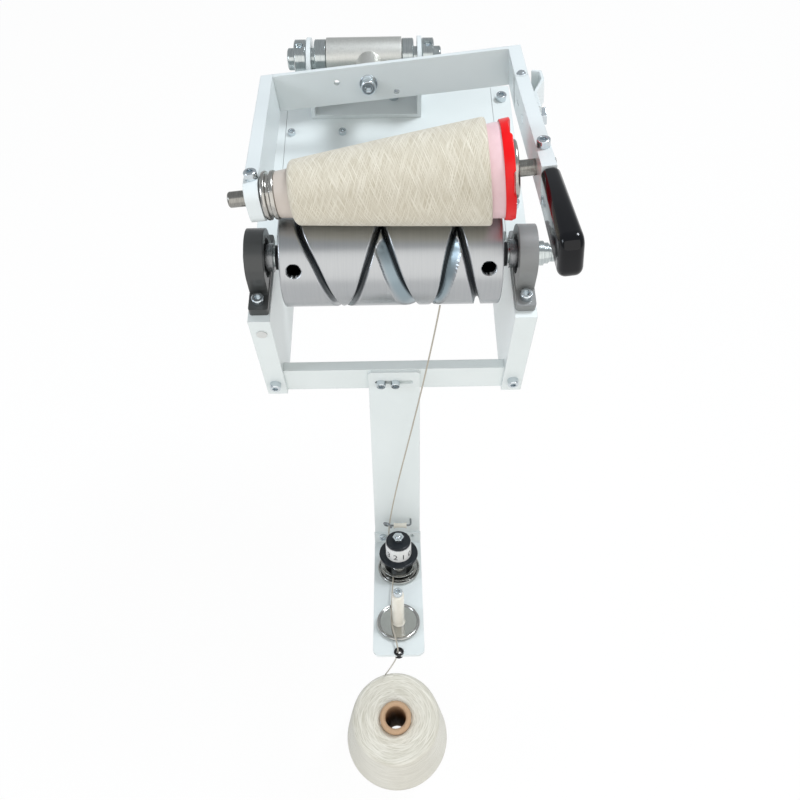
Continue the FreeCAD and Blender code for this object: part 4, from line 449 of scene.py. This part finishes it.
def eased_copy(node, ease_mm):
    """A welded, smooth-shaded and bevelled piece made from a CAD node, in its place."""
    bm = bmesh.new()
    bm.from_mesh(frame["nodes"][node].data)
    bmesh.ops.remove_doubles(bm, verts=bm.verts, dist=WELD_MM * MM)
    bmesh.ops.dissolve_limit(bm, angle_limit=FLAT, verts=bm.verts, edges=bm.edges)
    for face in bm.faces:
        face.smooth = True
    for edge in bm.edges:
        edge.smooth = len(edge.link_faces) == 2 and edge.calc_face_angle(math.pi) < SHARP
    slot = slot_of[node]
    piece = make_piece(node + "_eased", bm, body_of[node], finishes[slot], slot, node)
    bevel = piece.modifiers.new("eased_edges", "BEVEL")
    bevel.width = ease_mm * MM
    bevel.segments = 2
    bevel.limit_method = "ANGLE"
    bevel.angle_limit = SHARP
    flats = piece.modifiers.new("flat_faces", "WEIGHTED_NORMAL")
    flats.keep_sharp = True
    return piece


EASED = {"frame_screws": 0.3, "cover_screws": 0.2, "pillow_screws": 0.3, "bracket_screws": 0.3,
         "feed_screws": 0.25, "shelf_screw": 0.2, "left_clamp_screw": 0.3, "lever_clamp_screw": 0.3,
         "lever_side_bolt": 0.4, "yoke_bolt": 0.3, "post_screw": 0.25, "stud_nuts": 0.3,
         "tension_stud": 0.8, "pivot_collars": 0.3, "collar_set_screws": 0.2, "drum_set_screws": 0.2,
         "pivot_shaft": 0.3, "pivot_sleeve": 0.6, "drum_shaft": 0.4, "drive_collar": 0.3,
         "bearing_inner_rings": 0.3, "bearing_outer_rings": 0.3, "guide_ceramic": 0.3, "lever_pin": 0.2,
         "hole_plug": 0.3, "left_spindle": 0.5, "lever_spindle": 0.5, "small_end_chuck": 0.7,
         "base_chuck": 0.5, "tension_cup": 0.5, "tension_discs": 0.4, "tension_saucer": 0.6,
         "tension_knob": 0.6, "ceramic_post": 0.6, "yarn_eyelet": 0.4, "supply_tube": 0.6,
         "pillow_block_left": 1.2, "pillow_block_right": 1.2, "lever_arm": 0.5, "yoke_crossbar": 0.5,
         "left_arm": 0.6, "pivot_bracket": 0.5, "lever_side_bracket": 0.5}
for node, ease_mm in EASED.items():
    eased_copy(node, ease_mm)

# %% [markdown]
# ## The lever's grip
#
# The grip is a steel tang dipped in soft PVC: a flat bar, a little wider at its end, with every edge
# drawn round by the dip. A sculpted or subdivided form would lose its flat sides. A block with a
# tapered neck, a round tip and one wide bevel round its sides keeps them.

# %% The grip
GRIP_START, GRIP_LENGTH, GRIP_HEIGHT = 139.0, 86.8, 33.6
GRIP_NECK, GRIP_END = 13.6, 16.8
TIP_ROUND, DIP_ROUND = 9.0, 5.4
NECK_SHARE = 0.97

grip_low, grip_high = (Vector(corner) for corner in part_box("lever_grip"))
lever_side = (grip_low + grip_high) / 2 - Vector(joints["lever_open"]["pos_m"])
lever_place = axis_place(joints["lever_open"], lever_side)
grip_rise = lever_side.dot(Vector(joints["lever_open"]["axis"]).normalized())

bm = bmesh.new()
bmesh.ops.create_cube(bm, size=1.0)
bmesh.ops.scale(bm, vec=(GRIP_LENGTH * MM, GRIP_END * MM, GRIP_HEIGHT * MM), verts=bm.verts)
neck = [vert for vert in bm.verts if vert.co.x < 0]
bmesh.ops.scale(bm, vec=(1.0, GRIP_NECK / GRIP_END, NECK_SHARE), verts=neck)
tip = [edge for edge in bm.edges if all(vert.co.x > 0 for vert in edge.verts)
       and abs(edge.verts[0].co.y - edge.verts[1].co.y) > GRIP_END / 2 * MM]
bmesh.ops.bevel(bm, geom=tip, offset=TIP_ROUND * MM, offset_type="OFFSET", segments=6, profile=0.5,
                affect="EDGES", material=-1)
sharp = [edge for edge in bm.edges if edge.calc_face_angle() > SHARP]
bmesh.ops.bevel(bm, geom=sharp, offset=DIP_ROUND * MM, offset_type="OFFSET", segments=6, profile=0.5,
                affect="EDGES", material=-1)
for face in bm.faces:
    face.smooth = True
middle = (GRIP_START + GRIP_LENGTH / 2) * MM
bmesh.ops.transform(bm, matrix=lever_place @ Matrix.Translation((middle, 0, grip_rise)), verts=bm.verts)
make_piece("dipped_grip", bm, "lever", finishes["grip_vinyl"], "grip_vinyl", "lever_grip")

# %% [markdown]
# ## The grooved drum
#
# The drum throws the yarn from side to side: it runs in a crossing groove that goes from one end to
# the other and back in five turns. The speed of that travel isn't even, so the groove isn't a plain
# helix. A boolean cut with a swept tool would fail where the groove crosses itself. Instead a fine
# grid is rolled up into the drum, and each of its points is pushed in by the depth of the groove
# there, which handles the crossings by itself: the deeper pass wins.

# %% The groove's path
DRUM_LENGTH = 172.0
DRUM_RADIUS = 39.75
GROOVE_TURNS = 5
# Angle in degrees from the top towards the operator, and distance from the drum's middle in mm.
GROOVE_KNOTS = [(8, -70.2), (60, -55.6), (110, -44.5), (240, -24.0), (370, -5.5), (420, 5.0), (472, 17.0),
                (600, 36.0), (730, 52.2), (780, 60.0), (837, 68.1), (950, 73.5), (1020, 66.0), (1090, 49.3),
                (1130, 42.4), (1178, 37.0), (1320, 13.0), (1449, -9.7), (1500, -20.6), (1548, -31.1),
                (1650, -60.0), (1735, -74.0)]


def groove_at(angle):
    """The groove's distance from the drum's middle at an unwrapped angle, between its knots."""
    span = 360.0 * GROOVE_TURNS
    angle = (angle - GROOVE_KNOTS[0][0]) % span + GROOVE_KNOTS[0][0]
    knots = [(GROOVE_KNOTS[-1][0] - span, GROOVE_KNOTS[-1][1])] + GROOVE_KNOTS
    knots += [(a + span, x) for a, x in GROOVE_KNOTS[:2]]
    i = max(k for k in range(1, len(knots) - 2) if knots[k][0] <= angle)
    (a0, x0), (a1, x1), (a2, x2), (a3, x3) = knots[i - 1:i + 3]
    share = (angle - a1) / (a2 - a1)
    slope1, slope2 = (x2 - x0) / (a2 - a0) * (a2 - a1), (x3 - x1) / (a3 - a1) * (a2 - a1)
    if (x1 - x0) * (x2 - x1) <= 0:
        slope1 = 0.0
    if (x2 - x1) * (x3 - x2) <= 0:
        slope2 = 0.0
    s2, s3 = share ** 2, share ** 3
    return (x1 * (2 * s3 - 3 * s2 + 1) + slope1 * (s3 - 2 * s2 + share)
            + x2 * (3 * s2 - 2 * s3) + slope2 * (s3 - s2))


print("groove at 0, 180 and 360 degrees:", [round(groove_at(a), 1) for a in (0, 180, 360)], "mm")

# %% The drum's skin
SLOT_HALF = 1.9
SLOT_DEPTH = 6.0
LIP = 1.0
WELLS = ((-75.0, 33.2), (75.0, 33.2))
WELL_RADIUS = 5.3
WELL_DEPTH = 22.0
WELL_LIP = 0.8
END_LENGTH, END_DEPTH = 0.5, 0.6
STEPS_ALONG = 230
STEPS_ROUND = 400
# The passes with a hollowed flank: first and last angle in degrees, and width and depth in mm.
LEFT_FLANK = (375, 525, 11.5, 5.0)
RIGHT_FLANK = (1094, 1215, 9.0, 4.5)


def ease(value):
    value = min(max(value, 0.0), 1.0)
    return value * value * (3 - 2 * value)


def flank(pass_angle, offset):
    """The depth of the hollowed flank that leads the yarn into a pass, beside its slot."""
    first, last, widest, deepest = LEFT_FLANK
    if first < pass_angle < last:
        width = widest * ease((pass_angle - first) / 22) * ease((last - pass_angle) / 60)
        if -width < offset < 0.5:
            return 1.0 + deepest * (1 + offset / max(width, 0.1))
    first, last, widest, deepest = RIGHT_FLANK
    if first < pass_angle < last:
        width = widest * ease((pass_angle - first) / 20) * (1.0 - 0.5 * ease((pass_angle - 1120) / 90))
        if -0.5 < offset < width:
            return 1.0 + deepest * (1 - offset / max(width, 0.1))
    return 0.0


def drum_depth(angle, along):
    """How far the drum's skin is pushed in at this whole angle and distance, and by a flank, in mm."""
    depth = hollow = 0.0
    for k in range(GROOVE_TURNS):
        unwrapped = angle + 360 * k
        offset = along - passes[unwrapped % (360 * GROOVE_TURNS)]
        slot = SLOT_DEPTH * ease((SLOT_HALF + LIP - abs(offset)) / (2 * LIP))
        hollow = max(hollow, flank(unwrapped, offset))
        depth = max(depth, slot, hollow)
    return Vector((depth, hollow))


passes = [groove_at(a) for a in range(360 * GROOVE_TURNS)]
bm = bmesh.new()
bmesh.ops.create_grid(bm, x_segments=STEPS_ALONG, y_segments=STEPS_ROUND, size=1.0)
groove_layer = bm.verts.layers.float.new("groove_depth")
flank_layer = bm.verts.layers.float.new("flank_share")
for vert in bm.verts:
    along = vert.co.x * DRUM_LENGTH / 2
    angle = (vert.co.y + 1) * 180.0 + 180.0
    fine = angle % 360.0
    depth, hollow = drum_depth(int(fine), along).lerp(drum_depth(int(fine) + 1, along), fine % 1.0)
    for well_along, well_rise in WELLS:
        around = (fine - (90.0 - well_rise)) * math.pi / 180 * DRUM_RADIUS
        away = math.hypot(around, along - well_along)
        depth = max(depth, WELL_DEPTH * ease((WELL_RADIUS + WELL_LIP / 2 - away) / WELL_LIP))
    end = abs(along) > DRUM_LENGTH / 2 - END_LENGTH
    # The groove depth and the flank share are also the masks for the painted shade on the drum.
    vert[groove_layer] = depth / SLOT_DEPTH
    vert[flank_layer] = ease(hollow / 3.0)
    reach = (DRUM_RADIUS - depth - (END_DEPTH if end else 0.0)) * MM
    turn_angle = math.radians(angle)
    vert.co = (along * MM, -math.sin(turn_angle) * reach, math.cos(turn_angle) * reach)
bmesh.ops.remove_doubles(bm, verts=bm.verts, dist=0.02 * MM)
print("drum skin has", len(bm.faces), "faces")

# %% The drum's ends and bosses
BOSS_RADIUS = 10.0
BORE_RADIUS = 7.55
BOSS_REACH = 93.0
BORE_DEPTH = 12.0
for side in (-1, 1):
    rim = [e for e in bm.edges if e.is_boundary and e.verts[0].co.x * side > 0]
    for radius, along in ((BOSS_RADIUS, DRUM_LENGTH / 2), (BOSS_RADIUS, BOSS_REACH),
                          (BORE_RADIUS, BOSS_REACH), (BORE_RADIUS, DRUM_LENGTH / 2 - BORE_DEPTH)):
        made = bmesh.ops.extrude_edge_only(bm, edges=rim)["geom"]
        rim = [e for e in made if isinstance(e, bmesh.types.BMEdge) and e.is_boundary]
        for vert in {v for e in rim for v in e.verts}:
            out_way = Vector((0, vert.co.y, vert.co.z)).normalized()
            vert.co = out_way * radius * MM + Vector((along * side * MM, 0, 0))
bmesh.ops.recalc_face_normals(bm, faces=bm.faces)
drum_low, drum_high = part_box("winding_drum")
drum_middle = [(low + high) / 2 for low, high in zip(drum_low, drum_high)]
print("drum node spans", [round((h - l) / MM, 1) for l, h in zip(drum_low, drum_high)], "mm")

# %% Turned drum steel
# Hard-chromed steel, turned and lapped: neutral grey, satin, with fine rings round the axis. The
# rings are 0.1 mm apart on the real drum and are drawn 0.8 mm apart so that they show. The slot's deep
# part and the end wells are painted near black, and the hollowed flanks bluish grey, as painted shade.
drum_steel, out = new_material("lapped_hard_chrome")
place = add_node(drum_steel, "ShaderNodeTexCoord")
run = add_node(drum_steel, "ShaderNodeMapping", [("Vector", place.outputs["Object"]),
               ("Scale", (1.0, 0.02, 0.02))])
rings = add_node(drum_steel, "ShaderNodeTexNoise", [("Vector", run.outputs[0]), ("Scale", per_mm(0.8)),
                 ("Detail", 3.0), ("Roughness", 0.6)])
inside = add_node(drum_steel, "ShaderNodeAttribute", attribute_name="groove_depth")
tone = add_node(drum_steel, "ShaderNodeMix", [(0, rings.outputs["Fac"]), (6, colour("#A6A9AC")),
                (7, colour("#B9BBBC"))], data_type="RGBA")
# Painted shade: the hollowed flanks are tinted bluish grey by their share.
hollow = add_node(drum_steel, "ShaderNodeAttribute", attribute_name="flank_share")
tone = add_node(drum_steel, "ShaderNodeMix", [(0, hollow.outputs["Fac"]), (6, tone.outputs[2]),
                (7, colour("#93A2A9"))], data_type="RGBA")
# Painted shade: the slot's deep part and the end wells go near black.
painted_groove_shade = add_node(drum_steel, "ShaderNodeMapRange", [("Value", inside.outputs["Fac"]), (1, 0.8), (2, 1.0)])
groove_shaded_tone = add_node(drum_steel, "ShaderNodeMix", [(0, painted_groove_shade.outputs[0]), (6, tone.outputs[2]),
                (7, colour("#23282B"))], data_type="RGBA")
gloss = add_node(drum_steel, "ShaderNodeMapRange", [("Value", rings.outputs["Fac"]), (3, 0.27), (4, 0.35)])
bump = add_node(drum_steel, "ShaderNodeBump", [("Height", rings.outputs["Fac"]), ("Strength", 0.04),
                ("Distance", 0.1 * MM)])
shade = add_node(drum_steel, "ShaderNodeBsdfPrincipled", [("Base Color", groove_shaded_tone.outputs[2]), ("Metallic", 1.0),
                 ("Roughness", gloss.outputs[0]), ("Normal", bump.outputs["Normal"])])
drum_steel.node_tree.links.new(shade.outputs[0], out.inputs[0])

bmesh.ops.translate(bm, verts=bm.verts, vec=(drum_middle[0], *joints["drum_spin"]["pos_m"][1:]))
for face in bm.faces:
    face.smooth = True
make_piece("grooved_drum", bm, "drum", drum_steel, "drum_steel", "winding_drum")

# %% [markdown]
# ## Wound yarn
#
# On the cone the yarn lies in crossing layers, because the drum moves it to and fro while the cone
# turns. Modelling each winding would take kilometres of thread. A turned skin with its own UV map,
# in real millimetres round and along the cone, lets two sets of streaks cross at the winding angle,
# and a bump gives them thickness.

# %% Turned skins with a real-size map
def eased_outline(corners, radius):
    """Round the inner corners of an outline with small curves."""
    points = [Vector(corner) for corner in corners]
    eased = [points[0]]
    for before, corner, after in zip(points, points[1:], points[2:]):
        reach = min(radius, 0.45 * (before - corner).length, 0.45 * (after - corner).length)
        start = corner + (before - corner).normalized() * reach
        end = corner + (after - corner).normalized() * reach
        for share in (0.0, 0.33, 0.67, 1.0):
            eased.append(start.lerp(corner, share).lerp(corner.lerp(end, share), share))
    return eased + [points[-1]]


def turned_skin(outline_mm, steps, place, seam=math.pi):
    """Spin an outline of (radius, height) round its own +Z; its map is in metres, round and along."""
    bm = bmesh.new()
    along = bm.verts.layers.float.new("along")
    uv = bm.loops.layers.uv.new("winding")
    start = Matrix.Rotation(seam, 3, "Z")
    corners = [bm.verts.new(start @ Vector((r * MM, 0, h * MM))) for r, h in outline_mm]
    edges = [bm.edges.new(pair) for pair in zip(corners, corners[1:])]
    run = [0.0]
    for (r0, h0), (r1, h1) in zip(outline_mm, outline_mm[1:]):
        run.append(run[-1] + math.hypot(r1 - r0, h1 - h0) * MM)
    for corner, distance in zip(corners, run):
        corner[along] = distance
    bmesh.ops.spin(bm, geom=corners + edges, axis=(0, 0, 1), cent=(0, 0, 0), angle=2 * math.pi, steps=steps,
                   use_merge=True)
    bmesh.ops.remove_doubles(bm, verts=bm.verts, dist=0.005 * MM)
    bmesh.ops.recalc_face_normals(bm, faces=bm.faces)
    mean = sum(r for r, h in outline_mm) / len(outline_mm) * MM
    for face in bm.faces:
        face.smooth = True
        angles = [(math.atan2(loop.vert.co.y, loop.vert.co.x) - seam) % (2 * math.pi) for loop in face.loops]
        wraps = max(angles) - min(angles) > math.pi
        for loop, angle in zip(face.loops, angles):
            around = angle + 2 * math.pi if wraps and angle < math.pi else angle
            loop[uv].uv = (around * mean, loop.vert[along])
    bmesh.ops.transform(bm, matrix=place, verts=bm.verts)
    return bm


def wound_cotton(name, light, dark, winding_deg, thread_mm, streak_mm, strength):
    """Ecru cotton laid in two crossing sets of threads."""
    material, out = new_material(name)
    uv = add_node(material, "ShaderNodeUVMap", uv_map="winding")
    sets = []
    for sign in (-1, 1):
        lay = add_node(material, "ShaderNodeMapping", [("Vector", uv.outputs[0]),
                       ("Rotation", (0, 0, math.radians(sign * winding_deg)))])
        squeeze = add_node(material, "ShaderNodeMapping", [("Vector", lay.outputs[0]),
                           ("Location", (0.1 * (sign + 1), 0.0, 0.0)),
                           ("Scale", (per_mm(streak_mm), per_mm(thread_mm), 1.0))])
        sets.append(add_node(material, "ShaderNodeTexNoise", [("Vector", squeeze.outputs[0]), ("Scale", 1.0),
                             ("Detail", 2.0), ("Roughness", 0.6)]))
    top = add_node(material, "ShaderNodeMath", [(0, sets[0].outputs["Fac"]), (1, sets[1].outputs["Fac"])],
                   operation="MAXIMUM")
    level = add_node(material, "ShaderNodeMapRange", [("Value", top.outputs[0]), (1, 0.42), (2, 0.68)])
    tone = add_node(material, "ShaderNodeMix", [(0, level.outputs[0]), (6, colour(dark)), (7, colour(light))],
                    data_type="RGBA")
    bump = add_node(material, "ShaderNodeBump", [("Height", level.outputs[0]), ("Strength", strength),
                    ("Distance", 0.5 * MM)])
    shade = add_node(material, "ShaderNodeBsdfPrincipled", [("Base Color", tone.outputs[2]),
                     ("Roughness", 0.88),
                     ("Sheen Weight", 0.25), ("Normal", bump.outputs["Normal"])])
    material.node_tree.links.new(shade.outputs[0], out.inputs[0])
    print(name, "threads", thread_mm, "mm apart at", winding_deg, "degrees")
    return material


# Carded cotton on the cone: warm ecru, matt. The yarn is 0.5 mm thick; its layers are drawn 0.75 mm apart.
cone_cotton = wound_cotton("ecru_cotton_cross_wound", "#DED9CA", "#BBB29D", 20.0, 0.75, 22.0, 0.35)

# %% The wound cone
TUBE_LENGTH, NOSE_RADIUS, BASE_RADIUS = 170.5, 17.0, 34.7
BUILD, LEFT_INSET, RIGHT_INSET = 5.8, 10.5, 14.5


def tube_radius(height):
    return NOSE_RADIUS + (BASE_RADIUS - NOSE_RADIUS) * height / TUBE_LENGTH


low, high = LEFT_INSET, TUBE_LENGTH - RIGHT_INSET
outline = [(tube_radius(low) + 0.05, low), (tube_radius(low) + BUILD - 3.4, low + 0.2),
           (tube_radius(low) + BUILD - 1.9, low + 0.8), (tube_radius(low) + BUILD - 0.8, low + 1.8)]
bands = 36
for i in range(bands + 1):
    height = low + 3.2 + (high - low - 5.4) * i / bands
    crown = 0.3 * math.sin(math.pi * i / bands)
    outline.append((tube_radius(height) + BUILD + crown - 0.3, height))
outline += [(tube_radius(high) + BUILD - 0.9, high - 0.8), (tube_radius(high) + BUILD - 2.2, high - 0.1),
            (tube_radius(high) + 0.05, high)]
bm = turned_skin(outline, 120, axis_place(joints["cone_spin"]))
make_piece("cone_winding", bm, "cone", cone_cotton, "yarn_cotton", "wound_yarn")

# %% The cone's tube
# Injection-moulded polypropylene, rose tinted, with a painted shade of grey beige towards its nose end.
NOSE_SHADE_FROM, NOSE_SHADE_TO = 22, 70
tube_plastic, out = new_material("rose_polypropylene_painted_nose_shade")
uv = add_node(tube_plastic, "ShaderNodeUVMap", uv_map="winding")
along = add_node(tube_plastic, "ShaderNodeSeparateXYZ", [(0, uv.outputs[0])])
# Painted shade: a mask that is full at the nose end and fades out along the tube.
painted_nose_shade = add_node(tube_plastic, "ShaderNodeMapRange", [("Value", along.outputs["Y"]), (1, NOSE_SHADE_FROM * MM),
                   (2, NOSE_SHADE_TO * MM), (3, 1.0), (4, 0.0)])
place = add_node(tube_plastic, "ShaderNodeTexCoord")
scuffs = add_node(tube_plastic, "ShaderNodeTexNoise", [("Vector", place.outputs["Object"]),
                  ("Scale", per_mm(7.0)), ("Detail", 4.0)])
tone = add_node(tube_plastic, "ShaderNodeMix", [(0, scuffs.outputs["Fac"]), (6, colour("#DDB9BE")),
                (7, colour("#EBCFD2"))], data_type="RGBA")
# Painted shade: grey beige over the rose near the nose end.
tone = add_node(tube_plastic, "ShaderNodeMix", [(0, painted_nose_shade.outputs[0]), (6, tone.outputs[2]),
                (7, colour("#C4BAB0"))], data_type="RGBA")
gloss = add_node(tube_plastic, "ShaderNodeMapRange", [("Value", scuffs.outputs["Fac"]), (3, 0.28), (4, 0.42)])
shade = add_node(tube_plastic, "ShaderNodeBsdfPrincipled", [("Base Color", tone.outputs[2]),
                 ("Roughness", gloss.outputs[0]), ("Subsurface Weight", 0.15),
                 ("Subsurface Radius", (4 * MM,) * 3),
                 ("Subsurface Scale", 1.0), ("IOR", 1.49)])
tube_plastic.node_tree.links.new(shade.outputs[0], out.inputs[0])
tube_outline = eased_outline([(16.1, 0.0), (17.0, 0.0), (34.7, 170.5), (32.9, 170.5), (15.2, 0.0),
                              (16.1, 0.0)], 0.4)
bm = turned_skin(tube_outline, 144, axis_place(joints["cone_spin"]))
make_piece("moulded_cone_tube", bm, "cone", tube_plastic, "tube_pink", "cone_tube")

# %% The cone's end ring
# The red ring is a push-fit cap. Its rim has shallow dents, so that a thumb can pull it off.
DENTS, DENT_DEPTH, DENT_PHASE, DENT_EDGE = 5, 1.7, 0.8, 0.25
RIM_LEVEL, RIM_INSIDE = 171.5, 33.0
ring_outline = eased_outline([(26.0, 173.0), (36.3, 173.0), (35.5, 165.5), (34.3, 165.5), (34.8, 170.5),
                              (17.0, 170.5), (17.0, 173.0), (26.0, 173.0)], 0.7)
cone_place = axis_place(joints["cone_spin"])
bm = turned_skin(ring_outline, 144, Matrix.Identity(4))
for vert in bm.verts:
    angle = math.atan2(vert.co.y, vert.co.x)
    reach = math.hypot(vert.co.x, vert.co.y) / MM
    if vert.co.z > RIM_LEVEL * MM and reach > RIM_INSIDE:
        vert.co.z -= DENT_DEPTH * MM * ease((math.cos(DENTS * angle + DENT_PHASE) - DENT_EDGE) / DENT_EDGE)
bmesh.ops.transform(bm, matrix=cone_place, verts=bm.verts)
make_piece("dented_end_ring", bm, "cone", finishes["ring_red"], "ring_red", "cone_end_ring")

# %% The supply package
SUPPLY_HEIGHT, SUPPLY_BASE, SUPPLY_TOP, SUPPLY_BORE = 150.0, 65.0, 51.0, 18.3
package_low, package_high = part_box("supply_yarn")
package_place = Matrix.Translation(((package_low[0] + package_high[0]) / 2,
                                    (package_low[1] + package_high[1]) / 2, package_low[2]))
outline = [(SUPPLY_BORE, 0.0), (SUPPLY_BASE - 4, 0.0), (SUPPLY_BASE - 1.2, 1.2), (SUPPLY_BASE, 4.0)]
for i in range(1, 13):
    share = i / 12
    outline.append((SUPPLY_BASE + (SUPPLY_TOP - SUPPLY_BASE) * share + 0.4 * math.sin(math.pi * share) - 0.2,
                    4 + (SUPPLY_HEIGHT - 9) * share))
outline += [(SUPPLY_TOP - 1.2, SUPPLY_HEIGHT - 2.0), (SUPPLY_TOP - 3.6, SUPPLY_HEIGHT - 0.4)]
for i in range(9):
    radius = SUPPLY_TOP - 5 - (SUPPLY_TOP - 5 - SUPPLY_BORE) * i / 8
    outline.append((radius, SUPPLY_HEIGHT - (0.0 if i % 2 else 0.5)))
outline.append((SUPPLY_BORE, SUPPLY_HEIGHT - 10))
package_cotton = wound_cotton("ecru_cotton_package", "#E4E1D6", "#C3BFB0", 6.0, 1.4, 40.0, 0.4)
bm = turned_skin(outline, 128, package_place, seam=math.pi / 2)
make_piece("package_winding", bm, "frame", package_cotton, "yarn_cotton", "supply_yarn")

# %% [markdown]
# ## The dial's numbers
#
# The tension dial has black numbers printed round its white band. Text is flat, so each number is
# turned into a mesh, cut into narrow strips, and bent round the band by turning its distance across
# into an angle. A shrinkwrap modifier could do it too, but here the place of each number is exact.

# %% Numbers round the band
BAND_RADIUS, NUMBER_RISE, NUMBER_SIZE, NUMBER_BOLD = 12.85, 33.4, 9.6, 0.02
FIRST_NUMBER, NUMBER_STEP = 22.0, 36.0
dial_place = axis_place(joints["tension_dial"])
numbers = bmesh.new()
for number in range(10):
    text = bpy.data.curves.new("number", "FONT")
    text.body = str(number)
    text.size = NUMBER_SIZE
    text.offset = NUMBER_BOLD
    text.align_x, text.align_y = "CENTER", "CENTER"
    holder = bpy.data.objects.new("number", text)
    flat = bpy.data.meshes.new_from_object(holder)
    bpy.data.objects.remove(holder)
    strip = bmesh.new()
    strip.from_mesh(flat)
    for step in range(-6, 7):
        bmesh.ops.bisect_plane(strip, geom=strip.verts[:] + strip.edges[:] + strip.faces[:],
                               plane_co=(0.5 * step, 0, 0), plane_no=(1, 0, 0))
    angle = math.radians(FIRST_NUMBER - NUMBER_STEP * (number - 1))
    for vert in strip.verts:
        around = angle + vert.co.x / BAND_RADIUS
        vert.co = (BAND_RADIUS * math.cos(around) * MM, BAND_RADIUS * math.sin(around) * MM,
                   (NUMBER_RISE + vert.co.y) * MM)
    strip.to_mesh(flat)
    strip.free()
    numbers.from_mesh(flat)
bmesh.ops.transform(numbers, matrix=dial_place, verts=numbers.verts)
dial_numbers = make_piece("dial_numbers", numbers, "tension_knob", finishes["dial_black"], "dial_black")
thickness = dial_numbers.modifiers.new("print", "SOLIDIFY")
thickness.thickness = 0.06 * MM
thickness.offset = 0.0
